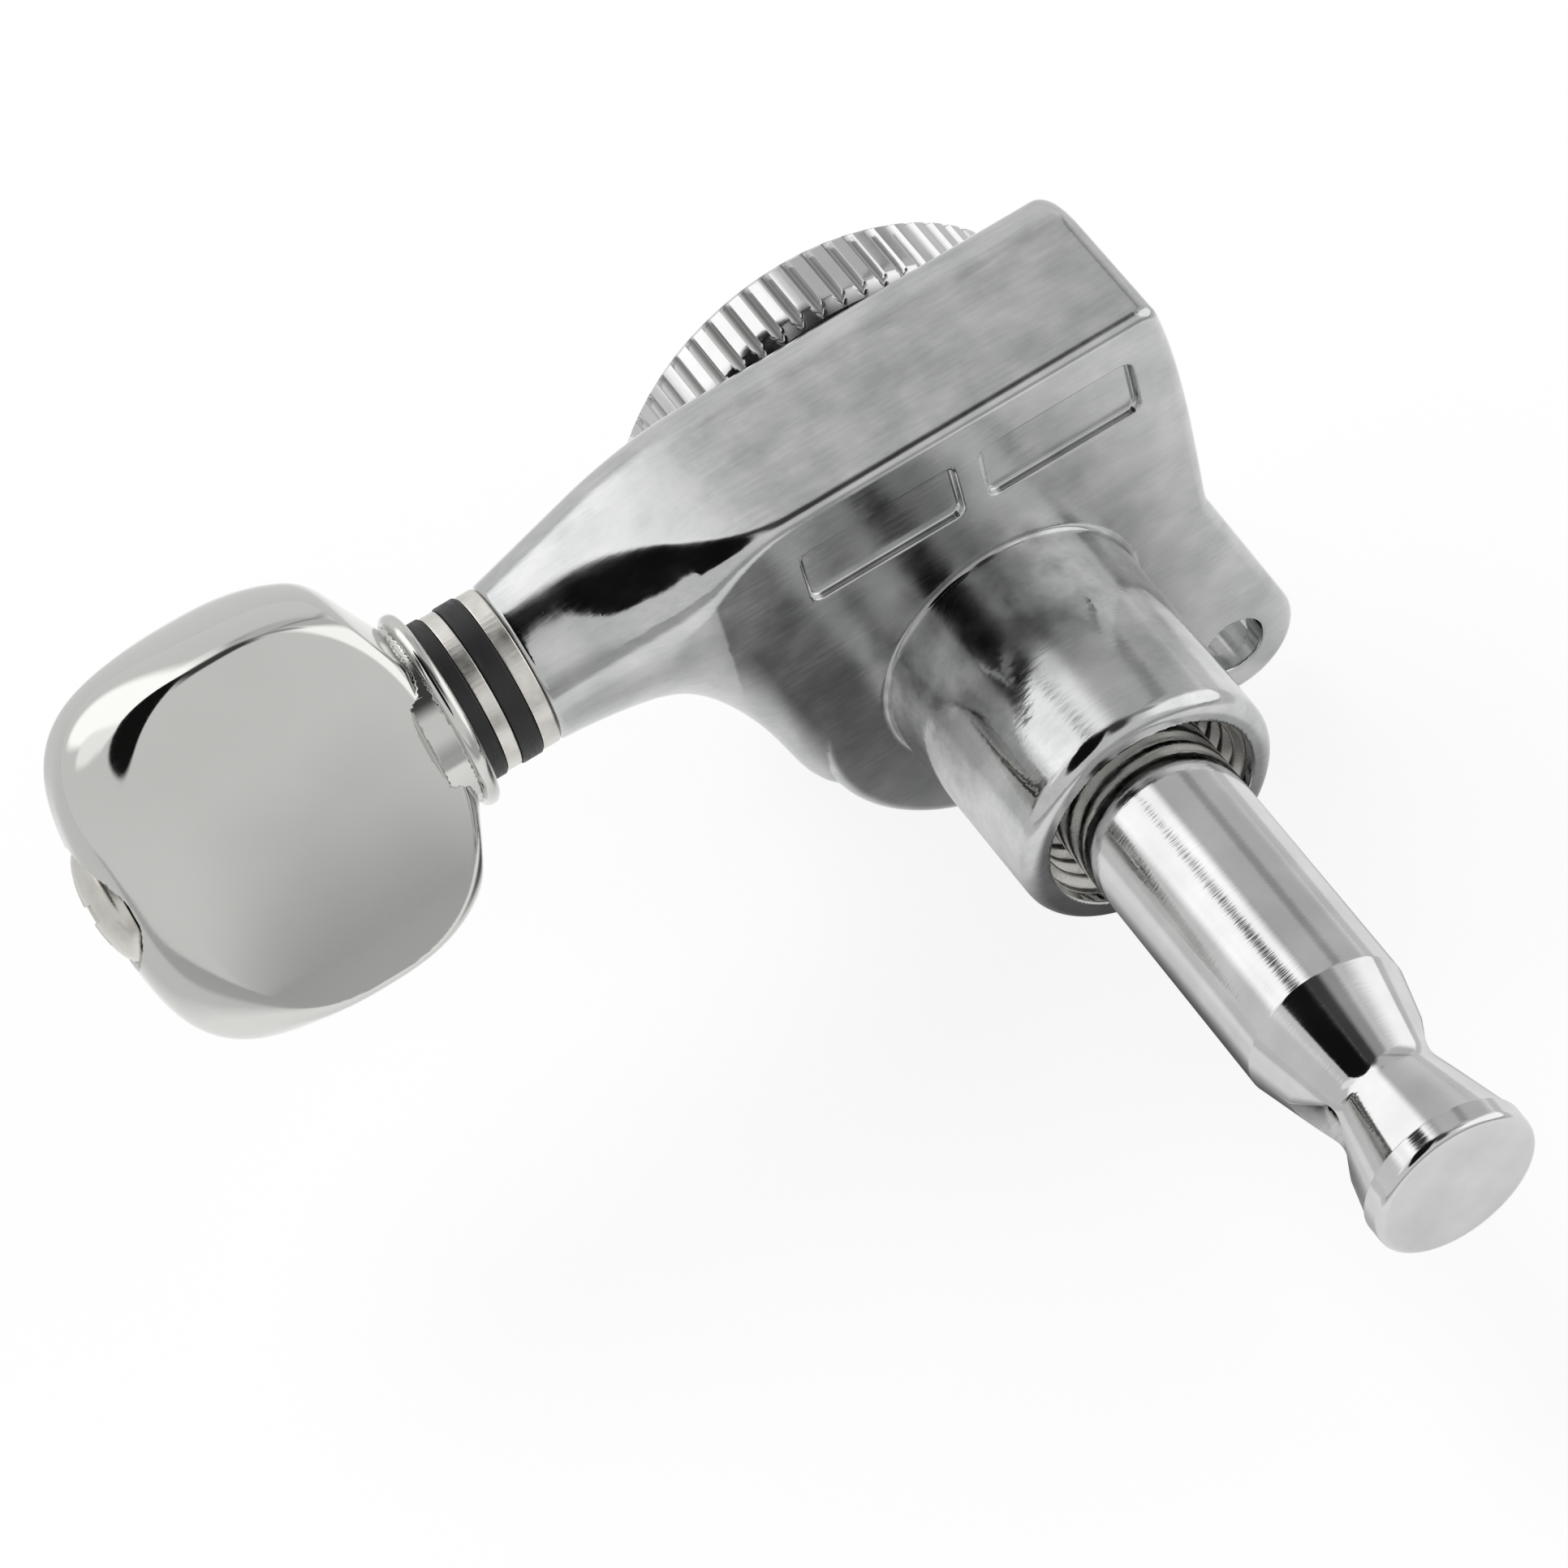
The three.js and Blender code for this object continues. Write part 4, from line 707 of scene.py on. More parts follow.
def build_barrel_thread():
    depth = np.linspace(*THREAD_RANGE, THREAD_GRID[0])[:, None]
    angle = np.arange(THREAD_GRID[1]) / THREAD_GRID[1] * 2 * math.pi
    wave = np.abs((depth / THREAD_PITCH + angle / (2 * math.pi)) % 1 - 0.5) * 2
    ridge = np.clip((wave - 0.15) / 0.7, 0, 1)
    from_end = np.minimum(depth - THREAD_RANGE[0], THREAD_RANGE[1] - depth)
    ends = np.clip(from_end / THREAD_RUN_OUT, 0, 1)
    inner = ring_points(BARREL_BORE + 0.01 - THREAD_DEPTH * ridge * ends, depth, angle)
    outer = [ring_points(BARREL_BORE + 0.1, y, angle) for y in reversed(THREAD_RANGE)]
    mesh = looped_mesh("barrel_thread", np.concatenate([inner, outer]))
    return new_piece("barrel_thread", mesh, "housing_body")


barrel_thread = build_barrel_thread()

# %% [markdown]
# The string post is a hollow plated rod. It narrows in a cone to a waist with the string hole, and widens
# again to a tip with a fine ledge. The hole runs straight across with a flared mouth on each side. It is
# cut with a boolean modifier, whose exact solver keeps the mouths crisp. A cut leaves uneven faces, and
# polished metal would show them, so afterwards every corner gets the exact normal of the profile it lies
# on, the rod's or the hole's.

# %% Post
POST_LENGTH = 27.22
POST_CONE = 19.6
POST_WAIST = 23.1
WAIST_RADIUS = 2.12
TIP_BAND = 0.9
TIP_LEDGE = 0.07
TIP_ROUND = 0.28
STRING_HOLE = 0.9
STRING_FLARE = 0.45
PIN_BORE = 0.96
STUD_BORE = 1.56
STUD_BORE_END = 2.65
SEAT_RADIUS = 2.4
TAIL_RADIUS = 2.2
WHEEL_FRONT = 1.92
SEAT_BACK = 5.89
TAIL_END = 8.7
ANVIL = -POST_WAIST - STRING_HOLE


def post_corners():
    band = -POST_LENGTH + TIP_BAND
    return [
        (0, -POST_LENGTH),
        (POST_RADIUS, -POST_LENGTH, TIP_ROUND),
        (POST_RADIUS, band, 0.03),
        (POST_RADIUS - TIP_LEDGE, band + 0.04, 0.03),
        (WAIST_RADIUS, -POST_WAIST, 1.2),
        (POST_RADIUS, -POST_CONE, 0.3),
        (POST_RADIUS, WHEEL_FRONT - 0.02, 0.04),
        (SEAT_RADIUS, WHEEL_FRONT - 0.02, 0.04),
        (SEAT_RADIUS, SEAT_BACK, 0.04),
        (TAIL_RADIUS, SEAT_BACK, 0.04),
        (TAIL_RADIUS, TAIL_END, 0.1),
        (STUD_BORE, TAIL_END, 0.1),
        (STUD_BORE, STUD_BORE_END, 0.04),
        (PIN_BORE, STUD_BORE_END, 0.04),
        (PIN_BORE, ANVIL, 0.04),
        (0, ANVIL),
    ]


def hole_corners():
    reach = POST_RADIUS + 1
    flare_start = WAIST_RADIUS - STRING_FLARE
    flare = STRING_HOLE + STRING_FLARE + reach - WAIST_RADIUS
    return [
        (0, -reach), (flare, -reach, 0.01), (STRING_HOLE, -flare_start, 0.5),
        (STRING_HOLE, flare_start, 0.5), (flare, reach, 0.01), (0, reach),
    ]


def profile_normals(corners, places):
    """The profile's own normal at the nearest point, for rows of radius and place along the axis."""
    points, normals = rounded_profile(corners)
    start, line = points[:-1], np.diff(points, axis=0)
    offset = places[:, None, :] - start
    share = np.clip((offset * line).sum(2) / np.maximum((line * line).sum(1), 1e-12), 0, 1)
    nearest = np.linalg.norm(offset - share[:, :, None] * line, axis=2).argmin(1)
    along = share[np.arange(len(places)), nearest][:, None]
    blend = normals[nearest] * (1 - along) + normals[nearest + 1] * along
    return blend / np.linalg.norm(blend, axis=1, keepdims=True)


def build_post():
    mesh = turned_mesh("string_rod", post_corners(), segments=160)
    cutter_mesh = turned_mesh("hole_cutter", hole_corners(), 96)
    cutter = linked("hole_cutter", cutter_mesh)
    cutter_mesh.transform(Matrix.Rotation(math.pi / 2, 4, "Z"))
    cutter_mesh.transform(Matrix.Translation((0, -POST_WAIST * MM, 0)))
    for target in (mesh, cutter_mesh):
        target.materials.append(bpy.data.materials.new("marker"))
    cut = applied(mesh, "string_rod", "BOOLEAN", object=cutter, operation="DIFFERENCE", solver="EXACT")
    bpy.data.objects.remove(cutter)
    spots = np.array([cut.vertices[i].co[:] for face in cut.polygons for i in face.vertices]) / MM
    in_hole = np.array([face.material_index > 0 for face in cut.polygons for _ in face.vertices])
    sideways = spots[:, [1, 0, 2]] + np.array([POST_WAIST, 0, 0])
    places = np.where(in_hole[:, None], sideways, spots)
    radius = np.hypot(places[:, 0], places[:, 2])
    rows = np.stack([radius, places[:, 1]], 1)
    across = profile_normals(post_corners(), rows)
    across[in_hole] = -profile_normals(hole_corners(), rows[in_hole])
    spread = across[:, 0] / np.maximum(radius, 1e-9)
    directions = np.stack([spread * places[:, 0], across[:, 1], spread * places[:, 2]], 1)
    directions = np.where(in_hole[:, None], directions[:, [1, 0, 2]], directions)
    cut.materials.clear()
    cut.normals_split_custom_set([tuple(d) for d in directions])
    print("string_rod after the cut:", len(cut.polygons), "faces")
    return new_piece("string_rod", cut, "post_body", ["string_post"])


string_rod = build_post()

# %% [markdown]
# Between the neck and the button sits a stack of four washers, metal and black by turns. They are plain
# rings with broken edges. The metal ones are sliced from bar, so fine lines run across their rims. Four
# cylinders with bevels would do, but one loop over a table keeps the stack closed when a thickness changes.

# %% Washers
SHAFT_RADIUS = 1.7
WASHER_RADIUS = 2.9
BLACK_RADIUS = 2.95
WASHER_EDGE = 0.07
WASHERS = [
    ("inner_metal_ring", "inner_metal_washer", 0.68, WASHER_RADIUS, "housing_body", "nickel_inner_washer"),
    ("inner_black_ring", "inner_black_washer", 0.79, BLACK_RADIUS, "button_body", "nylon_inner_washer"),
    ("outer_metal_ring", "outer_metal_washer", 0.585, WASHER_RADIUS, "button_body", "nickel_outer_washer"),
    ("outer_black_ring", "outer_black_washer", 0.6, BLACK_RADIUS, "button_body", "nylon_outer_washer"),
]


def ring_corners(inner, outer, start, end, edge):
    middle = (inner + outer) / 2
    start, end = sorted((start, end))
    return [
        (middle, start), (outer, start, edge), (outer, end, edge), (inner, end, edge), (inner, start, edge),
        (middle, start),
    ]


def build_washers():
    place = -NECK_END
    rings = []
    for name, node, thickness, radius, body, slot in WASHERS:
        corners = ring_corners(SHAFT_RADIUS + RUNNING_GAP, radius, place, place - thickness + 0.02, WASHER_EDGE)
        mesh = turned_mesh(name, corners, 128, "shaft")
        rings.append(new_piece(name, mesh, body, [node]))
        place -= thickness
    return rings


washer_rings = build_washers()

# %% [markdown]
# The button is a cast knob: two softly domed faces, a full rim between them, and a shoulder that was turned
# on a lathe where it meets the collar. In its own frame the faces are level. The rim swells outwards
# between the edge of a face, an ellipse, and the widest line, a rounded square.

# %% Button
COLLAR_FACE = 18.355
COLLAR_LENGTH = 0.8
BUTTON_INNER = COLLAR_FACE + COLLAR_LENGTH
FACE_MIDDLE = 24.72
FACE_HALF = (5.5, 6.4)
FACE_POWER = 2.6
RIM_MIDDLE = 25.09
RIM_HALF = (6.48, 6.85)
RIM_CORNER_POWER = 3.2
RIM_SECTION_POWER = 2.2
END_FULLNESS = 1.3
RIM_REACH = 0.8
RIM_TAPER = 0.03
EDGE_HALF = 2.8
DOME = 0.65
BUTTON_TURN = math.radians(32.7)
FACE_SOFT = 0.35
FACE_MEAN = 6
RIM_MEAN = 6.6
FULL_FROM = 27
FULL_OVER = 4
COLLAR_RADIUS = 3.6
COLLAR_ROUND = 0.28
CORE_RADIUS = 3.3
SHOULDER_ALONG = [0, 0.26, 0.54, 1.14, 1.75, 2.14, 3.5, 14]
SHOULDER_RADIUS = [3.425, 3.9, 4.45, 5.55, 6.23, 6.58, 8.0, 19]
SCREW_SEAT = 30.85
SPOT_RADIUS = 2.3
BORE_END = 27.87
SCREW_HOLE = (1.0, 25)


def pillow_field(x, across, level):
    inner = (np.abs((x - FACE_MIDDLE) / FACE_HALF[0]) ** FACE_POWER
             + np.abs(across / FACE_HALF[1]) ** FACE_POWER) ** (1 / FACE_POWER)
    narrowing = 1 + RIM_TAPER * (x - RIM_MIDDLE) / RIM_HALF[0]
    along = (np.abs(x - RIM_MIDDLE) / RIM_HALF[0]) ** RIM_CORNER_POWER
    wide = (np.abs(across) / (RIM_HALF[1] * narrowing)) ** RIM_CORNER_POWER
    outer = (along + wide) ** (1 / RIM_CORNER_POWER)
    past_face = (inner - 1) * FACE_MEAN
    past_rim = (outer - 1) * RIM_MEAN
    share = past_face / np.maximum(past_face - past_rim, 0.05)
    height = np.abs(level) / EDGE_HALF
    fullness = RIM_SECTION_POWER + END_FULLNESS * np.clip((x - FULL_FROM) / FULL_OVER, 0, 1) ** 2
    rim = (np.maximum(share, -0.6) + height ** fullness - 1) * RIM_REACH
    dome = np.abs(level) - EDGE_HALF - DOME * np.clip(1 - inner ** 2, -0.3, 1)
    return soft_common(rim, dome, FACE_SOFT)


def button_field(x, across, level):
    radius = np.hypot(across, level)
    limit = smooth_table(SHOULDER_ALONG, SHOULDER_RADIUS, x - BUTTON_INNER)
    shoulder = np.maximum((radius - limit) * 0.7, BUTTON_INNER - x)
    knob = soft_common(pillow_field(x, across, level), shoulder, 0.1)
    collar = round_common(radius - COLLAR_RADIUS, np.abs(x - COLLAR_FACE - 0.3) - 0.3, COLLAR_ROUND)
    core = np.maximum(radius - CORE_RADIUS, np.abs(x - BUTTON_INNER) - COLLAR_LENGTH + 0.1)
    solid = np.minimum(np.minimum(knob, collar), core)
    bore = np.maximum(radius - SHAFT_RADIUS - 0.03, x - BORE_END)
    spot = np.maximum(radius - SPOT_RADIUS, SCREW_SEAT - x)
    screw_hole = np.maximum(radius - SCREW_HOLE[0], SCREW_HOLE[1] - x)
    return round_common(solid, -np.minimum(np.minimum(bore, spot), screw_hole), 0.05)


def onto_shaft(rows, turn_only=False):
    """From the button's own frame to its place on the shaft."""
    x, across, level = np.asarray(rows).T
    sine, cosine = math.sin(BUTTON_TURN), math.cos(BUTTON_TURN)
    turned = np.stack([-x, -cosine * level - sine * across, sine * level - cosine * across], 1)
    return turned if turn_only else turned + np.array([0, SHAFT_DEPTH, SHAFT_HEIGHT])


knob_mesh = skinned("knob", button_field, (18.2, -7.3, -3.7), (31.8, 7.3, 3.7), 0.09, 90_000, onto_shaft)
knob = new_piece("knob", knob_mesh, "button_body", ["button"])

# %% [markdown]
# The button is held by a nickel plated screw with a domed head and a cross recess. The recess narrows
# towards its floor, so that the driver wedges in. Four tapered walls are quick to write as a field, and
# slow to bevel by hand.

# %% Button screw
SCREW_BACK = 30.87
SCREW_HEAD = (2.2, 1.1)
SCREW_EDGE = 0.25
SCREW_SHANK = (0.9, 6.0)
RECESS_HALF = (0.22, 1.15)
RECESS_DEPTH = 0.8
RECESS_TAPER = 0.12
SCREW_TURN = math.radians(20)


def recess_wing(along, across, depth):
    wall = RECESS_TAPER * depth
    ends = np.abs(along) - RECESS_HALF[1] - 0.5 * depth + 0.3
    return np.maximum(np.maximum(np.abs(across) - RECESS_HALF[0] - wall, ends), -depth)


def screw_field(x, across, level):
    radius = np.hypot(across, level)
    rise = np.maximum(x - SCREW_BACK - SCREW_EDGE, 0) / (SCREW_HEAD[1] - SCREW_EDGE)
    dome = (np.hypot(radius / SCREW_HEAD[0], rise) - 1) * (SCREW_HEAD[1] - SCREW_EDGE)
    head = round_common(dome, SCREW_BACK - x, 0.05)
    half_shank = SCREW_SHANK[1] / 2
    shank = np.maximum(radius - SCREW_SHANK[0], np.abs(x - SCREW_BACK + half_shank) - half_shank - 0.1)
    depth = x - SCREW_BACK - SCREW_HEAD[1] + RECESS_DEPTH
    along = across * math.cos(SCREW_TURN) + level * math.sin(SCREW_TURN)
    aside = level * math.cos(SCREW_TURN) - across * math.sin(SCREW_TURN)
    recess = round_join(recess_wing(along, aside, depth), recess_wing(aside, along, depth), 0.06)
    return round_common(np.minimum(head, shank), -recess, 0.04)


screw_mesh = skinned(
    "button_screw_head", screw_field, (24.9, -2.4, -2.4), (32.4, 2.4, 2.4), 0.05, 26_000, onto_shaft)
button_screw = new_piece("button_screw_head", screw_mesh, "button_body", ["button_screw"])

# %% [markdown]
# Behind the case sits the thumbwheel that locks the string. Its rim is knurled with straight ribs, and both
# edges are chamfered. Where a groove runs into the chamfer it ends in a small V. That V comes out by itself
# when the radius is the smaller of the two: the ribbed rim's or the chamfer's cone.

# %% Thumbwheel
THUMB_RADIUS = 8.6
THUMB_SPAN = (9.75, 12.85)
THUMB_RIBS = 64
RIB_POINTS = 12
RIB_DEPTH = 0.28
CREST_SHARE = 0.48
BACK_CHAMFER = 0.35
FRONT_CHAMFER = 0.55
FRONT_SLOPE = 0.55
BLEND = 0.05
WELL = (4.7, 10.85)
HUB_RADIUS = 4.4
DISH = (6.6, 0.3)
STUD_RADIUS = 1.5


def rib_radius(phase):
    valley = np.clip((np.abs(phase % 1 - 0.5) * 2 - CREST_SHARE) / (1 - CREST_SHARE), 0, 1)
    return THUMB_RADIUS - RIB_DEPTH * (0.5 - 0.5 * np.cos(valley * math.pi)) ** 0.8


def build_thumbwheel():
    start, end = THUMB_SPAN
    face = THUMB_RADIUS - RIB_DEPTH - 0.02
    back = THUMB_RADIUS - BACK_CHAMFER
    rows = np.concatenate([
        np.linspace(start, start + FRONT_CHAMFER, 19),
        np.linspace(start + FRONT_CHAMFER, end - 0.5, 6)[1:-1],
        np.linspace(end - 0.5, end, 17),
    ])[:, None]
    ribs = np.arange(THUMB_RIBS * RIB_POINTS) / RIB_POINTS
    turn = ribs / THUMB_RIBS * 2 * math.pi
    front_cone = face + FRONT_SLOPE * (rows - start)
    radius = soft_minimum(soft_minimum(rib_radius(ribs), front_cone, BLEND), back + (end - rows), BLEND)
    floor = end - DISH[1]
    inner = [(STUD_RADIUS + 0.03, WELL[1]), (WELL[0] - 0.06, WELL[1]), (WELL[0], WELL[1] - 0.06),
             (WELL[0], start + 0.08), (WELL[0] + 0.08, start), (face - 0.06, start)]
    outer = [(back - 0.06, end), (DISH[0], end), (DISH[0] - 0.05, end - 0.03), (DISH[0] - DISH[1], floor + 0.03),
             (DISH[0] - DISH[1] - 0.06, floor), (STUD_RADIUS + 0.1, floor), (STUD_RADIUS + 0.03, floor - 0.08)]
    rings = [[ring_points(*corner, turn) for corner in side] for side in (inner, outer)]
    mesh = looped_mesh("lock_wheel", np.concatenate([rings[0], ring_points(radius, rows, turn), rings[1]]))
    mesh.set_sharp_from_angle(angle=math.radians(38))
    return new_piece("lock_wheel", mesh, "thumbwheel_body", ["thumbwheel"])


thumbwheel = build_thumbwheel()

# %% [markdown]
# Two more turned pieces show from behind: the cap that closes the gear chamber, with a hub round the post's
# tail, and the domed end of the stud in the middle of the thumbwheel. They are swept like the post, since a
# lathe makes the real ones too.

# %% Cover and stud
COVER_FRONT = 6.92
HUB_BACK = 8.9
COVER_RADIUS = 7.07
STUD_SPAN = (4.5, 12.55)
STUD_DOME = 0.35

cover_corners = [
    (4, COVER_FRONT), (COVER_RADIUS, COVER_FRONT, 0.05), (COVER_RADIUS, BODY_DEPTH, 0.1),
    (HUB_RADIUS, BODY_DEPTH, 0.12), (HUB_RADIUS, HUB_BACK, 0.2), (TAIL_RADIUS + RUNNING_GAP, HUB_BACK, 0.08),
    (TAIL_RADIUS + RUNNING_GAP, COVER_FRONT, 0.05), (4, COVER_FRONT),
]
cover_mesh = turned_mesh("chamber_cap", cover_corners, 160)
cover = new_piece("chamber_cap", cover_mesh, "housing_body", ["back_cover"])
stud_corners = [
    (0, STUD_SPAN[0]), (STUD_RADIUS, STUD_SPAN[0], 0.05), (STUD_RADIUS, STUD_SPAN[1], 0.06),
    (STUD_RADIUS / 2, STUD_SPAN[1] + STUD_DOME, 0.6), (0, STUD_SPAN[1] + STUD_DOME),
]
stud_mesh = turned_mesh("lock_stud", stud_corners, 96)
stud = new_piece("lock_stud", stud_mesh, "thumbwheel_body", ["thumbwheel_stud"])

# %% [markdown]
# The finishes. All the metals share one recipe and differ in numbers: a colour that drifts a little, a
# roughness that varies in cloudy patches as plating does, and a bump in two scales. The large one makes the
# reflections wander, as they do on a polished casting, and the small one is the grain that the polishing
# belt left. Flat faces are brushed a little duller than round ones. Some pieces get painted shade in their
# colour: a dark inside of the post's hole, dark blotches towards the foot of the barrel and dark valleys in
# the knurl. Image maps could do all this, but noise and distances from the post's axis need no unwrapping
# and stay sharp at any size.

# %% Metal finish
FLAT_RANGE = (0.93, 0.998)
PITS_PER_METRE = 2200.0


def surface_place(tree):
    return add_node(tree, "ShaderNodeTexCoord").outputs["Object"]


def noise(tree, place, per_mm, detail=3.0, stretch=(1, 1, 1)):
    scale = tuple(1000 * per_mm * s for s in stretch)
    mapping = add_node(tree, "ShaderNodeMapping", {"Vector": place, "Scale": scale})
    inputs = {"Vector": mapping.outputs[0], "Scale": 1.0, "Detail": detail}
    return add_node(tree, "ShaderNodeTexNoise", inputs).outputs["Fac"]


def bumped(tree, shader, height):
    bump = add_node(tree, "ShaderNodeBump", {"Height": height, "Strength": 1.0, "Distance": 1.0})
    tree.links.new(bump.outputs[0], shader.inputs["Normal"])


def flat_share(tree, axes):
    """How far the surface is one of the flat faces that look along the given axes."""
    normal = add_node(tree, "ShaderNodeNewGeometry").outputs["Normal"]
    facing = 0.0
    for axis in axes:
        facing = math_node(tree, "MAXIMUM", vector_value(tree, "DOT_PRODUCT", normal, axis), facing)
    return ranged(tree, facing, *FLAT_RANGE, 0, 1)


def from_axis(tree, place, low, high, out_low, out_high):
    """A change of range over the distance from the post's axis, in millimetres."""
    across = add_node(tree, "ShaderNodeVectorMath", {0: place, 1: (1, 0, 1)}, operation="MULTIPLY").outputs[0]
    return ranged(tree, vector_value(tree, "LENGTH", across), low * MM, high * MM, out_low, out_high)


def along_axis(tree, place, low, high):
    return ranged(tree, vector_value(tree, "DOT_PRODUCT", place, (0, 1, 0)), low * MM, high * MM, 0, 1)


# Painted shade: the inside of the post's bore and string hole gets a dark brownish colour.
def bore_painted_shade(tree, place):
    share = times(tree, from_axis(tree, place, 1.6, 1.75, 1, 0), along_axis(tree, place, -26.2, -26))
    return share, (0.10, 0.085, 0.06, 1)


# Painted shade and reflection: dark noisy blotches on the barrel towards its foot, where it meets the case.
def barrel_foot_shade(tree, place):
    share = times(tree, from_axis(tree, place, 5.1, 5.3, 1, 0), along_axis(tree, place, -7.5, -3))
    blotches = ranged(tree, noise(tree, place, 0.38, 5), 0.4, 0.62, 0.1, 0.75)
    return times(tree, share, blotches), (0.12, 0.12, 0.118, 1)


# Painted shade: the bottoms of the knurl's valleys are darkened.
def knurl_valley_shade(tree, place):
    share = times(tree, from_axis(tree, place, 8.31, 8.5, 0.8, 0), from_axis(tree, place, 8.29, 8.3, 0, 1))
    return share, (0.17, 0.17, 0.165, 1)


def metal(name, dark, light, roughness, wander=0.0, grain=0.0, grain_per_mm=6.0, stretch=(1, 1, 1),
          cloud_per_mm=0.5, spots=0.0, satin_axes=(), satin=0.0, streaks=0.0, painted_shade=None):
    material = bpy.data.materials.new(name)
    material.use_nodes = True
    tree = material.node_tree
    shader = tree.nodes["Principled BSDF"]
    shader.inputs["Metallic"].default_value = 1.0
    place = surface_place(tree)
    cloud = noise(tree, place, cloud_per_mm, 4)
    fine = noise(tree, place, grain_per_mm, 2, stretch)
    shade = mixed_colour(tree, ranged(tree, cloud, 0.3, 0.7, 0, 1), (*dark, 1), (*light, 1))
    if streaks:
        lines = ranged(tree, fine, 0.3, 0.7, 1 - streaks, 1 + streaks)
        shade = add_node(tree, "ShaderNodeVectorMath", {0: shade, 3: lines}, operation="SCALE").outputs[0]
    # Painted shade: a mask darkens the colour in hollows and at the barrel's foot.
    if painted_shade:
        share, colour = painted_shade(tree, place)
        shade = mixed_colour(tree, share, shade, colour)
    tree.links.new(shade, shader.inputs["Base Color"])
    gloss = plus(tree, ranged(tree, cloud, 0.35, 0.65, *roughness), ranged(tree, fine, 0.3, 0.7, -0.02, 0.02))
    if satin_axes:
        gloss = plus(tree, gloss, times(tree, flat_share(tree, satin_axes), satin))
    tree.links.new(gloss, shader.inputs["Roughness"])
    height = plus(tree, times(tree, noise(tree, place, 0.9, 2), wander * MM), times(tree, fine, grain * MM))
    if spots:
        pits = add_node(tree, "ShaderNodeTexVoronoi", {"Vector": place, "Scale": PITS_PER_METRE})
        pit = ranged(tree, pits.outputs["Distance"], 0.0, 0.12, -1, 0)
        height = plus(tree, height, times(tree, pit, spots * MM))
    bumped(tree, shader, height)
    return material


def finish(material, *pieces):
    for piece in pieces:
        piece.data.materials.clear()
        piece.data.materials.append(material)
    print(material.name, "on", ", ".join(piece.name for piece in pieces))


finish(metal("satin_chrome", (0.47, 0.475, 0.478), (0.64, 0.645, 0.64), (0.05, 0.12), wander=0.006, grain=0.0026,
             stretch=(0.12, 1, 1), spots=0.0007, satin_axes=((0, 0, 1), (0, -1, 0)), satin=0.12, streaks=0.04,
             painted_shade=barrel_foot_shade), case)
finish(metal("thread_chrome", (0.55, 0.53, 0.49), (0.75, 0.74, 0.71), (0.15, 0.35), wander=0.003, grain=0.001),
       barrel_thread)
finish(metal("cap_chrome", (0.50, 0.505, 0.50), (0.58, 0.585, 0.58), (0.08, 0.16), wander=0.002), cover)
finish(metal("post_chrome", (0.56, 0.565, 0.56), (0.66, 0.665, 0.66), (0.05, 0.11), wander=0.0025, grain=0.0018,
             stretch=(0.25, 2, 0.25), spots=0.0004, painted_shade=bore_painted_shade), string_rod)
finish(metal("button_chrome", (0.62, 0.625, 0.60), (0.67, 0.675, 0.65), (0.06, 0.11), wander=0.0015,
             grain=0.0002, spots=0.0002, cloud_per_mm=0.12), knob)
finish(metal("wheel_chrome", (0.60, 0.605, 0.60), (0.68, 0.685, 0.68), (0.1, 0.2), wander=0.002, grain=0.0012,
             painted_shade=knurl_valley_shade), thumbwheel)
finish(metal("brushed_nickel", (0.66, 0.64, 0.60), (0.86, 0.84, 0.79), (0.28, 0.4), grain=0.01, grain_per_mm=9,
             stretch=(0.08, 1, 1), cloud_per_mm=1.5), washer_rings[0], washer_rings[2])
finish(metal("screw_nickel", (0.62, 0.60, 0.555), (0.72, 0.70, 0.655), (0.24, 0.34), grain=0.001,
             cloud_per_mm=1.2), button_screw)
finish(metal("stud_steel", (0.50, 0.51, 0.52), (0.62, 0.63, 0.64), (0.22, 0.34), grain=0.001), stud)

# %% [markdown]
# The two black rings are nylon. Sliding against metal has left them matte, with fine pale scuffs that
# follow the turn of the shaft. The scuffs are a noise that is squeezed along the shaft, and they change the
# colour and the roughness together.

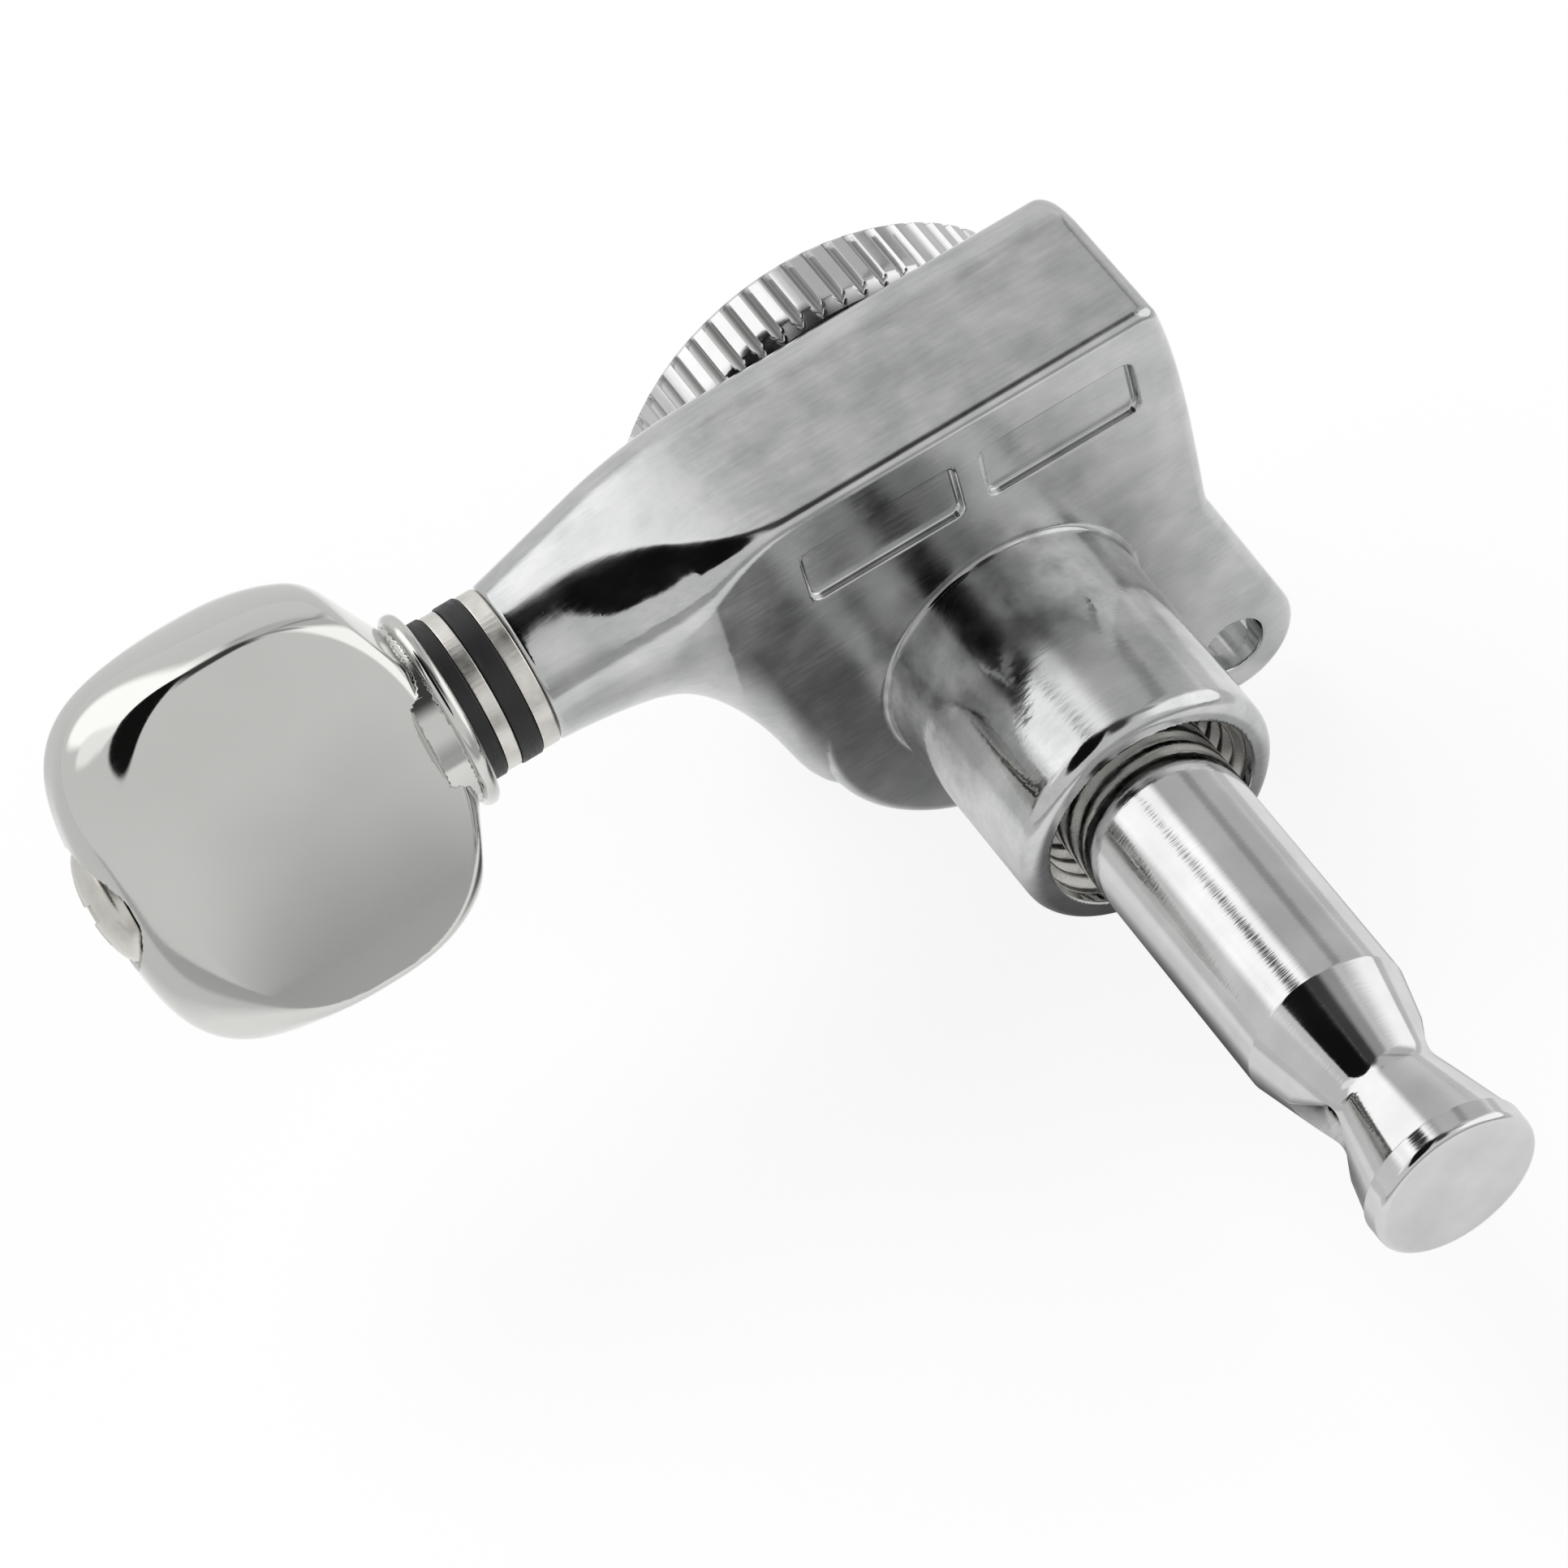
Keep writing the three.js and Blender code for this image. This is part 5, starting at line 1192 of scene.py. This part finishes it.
# %% Black nylon
def black_nylon():
    material = bpy.data.materials.new("black_nylon")
    material.use_nodes = True
    tree = material.node_tree
    shader = tree.nodes["Principled BSDF"]
    place = surface_place(tree)
    scuff = noise(tree, place, 2.2, 6, (3, 0.5, 0.5))
    pale = ranged(tree, scuff, 0.62, 0.8, 0, 0.5)
    shade = mixed_colour(tree, pale, (0.012, 0.012, 0.012, 1), (0.12, 0.11, 0.10, 1))
    tree.links.new(shade, shader.inputs["Base Color"])
    tree.links.new(ranged(tree, scuff, 0.3, 0.7, 0.42, 0.6), shader.inputs["Roughness"])
    bumped(tree, shader, times(tree, noise(tree, place, 7, 3), 0.006 * MM))
    return material


finish(black_nylon(), washer_rings[1], washer_rings[3])

# %% [markdown]
# The gears, bushes and small washers are closed in, but they are part of the machine and show when it is
# taken apart. They keep the fixed model's meshes and get the finish of what they are: cut brass, bearing
# bronze and turned or ground steel.

# %% Inner pieces
cut_brass = metal("cut_brass", (0.60, 0.45, 0.21), (0.72, 0.57, 0.30), (0.22, 0.36), grain=0.002,
                  stretch=(1, 6, 1))
bearing_bronze = metal("bearing_bronze", (0.46, 0.29, 0.15), (0.60, 0.41, 0.23), (0.32, 0.46), grain=0.003)
turned_steel = metal("turned_steel", (0.44, 0.45, 0.46), (0.58, 0.59, 0.60), (0.2, 0.34), grain=0.002,
                     stretch=(6, 1, 1))
ground_steel = metal("ground_steel", (0.50, 0.51, 0.52), (0.62, 0.63, 0.64), (0.26, 0.4), grain=0.002,
                     stretch=(1, 6, 0.3))
INNER_FINISHES = [
    (cut_brass, ["worm_wheel"]),
    (bearing_bronze, ["neck_bush", "shaft_end_bush"]),
    (turned_steel, ["worm_shaft", "wheel_nut", "lock_pin"]),
    (ground_steel, ["shaft_thrust_washer", "post_thrust_washer", "wheel_spring_washer"]),
]
for material, nodes in INNER_FINISHES:
    finish(material, *(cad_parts[node] for node in nodes))

# %% [markdown]
# The world lights everything softly. One large lamp on the camera's left adds a little direction, so that
# the matte washers and the screw show their form. It is hidden from mirror rays, because the metal already
# sees the panel that stands there, and a second one would draw a hard shape into it.

# %% Lamp
def soft_lamp(name, right_degrees, up_degrees, distance, size, watts):
    data = bpy.data.lights.new(name, "AREA")
    data.shape = "DISK"
    data.size = size
    data.energy = watts
    lamp = linked(name, data)
    direction = studio_axes(right_degrees, up_degrees)[0]
    lamp.location = direction * distance
    lamp.rotation_euler = direction.to_track_quat("Z", "Y").to_euler()
    lamp.visible_glossy = False


soft_lamp("key_lamp", -45, 45, 0.6, 0.3, 0.6)
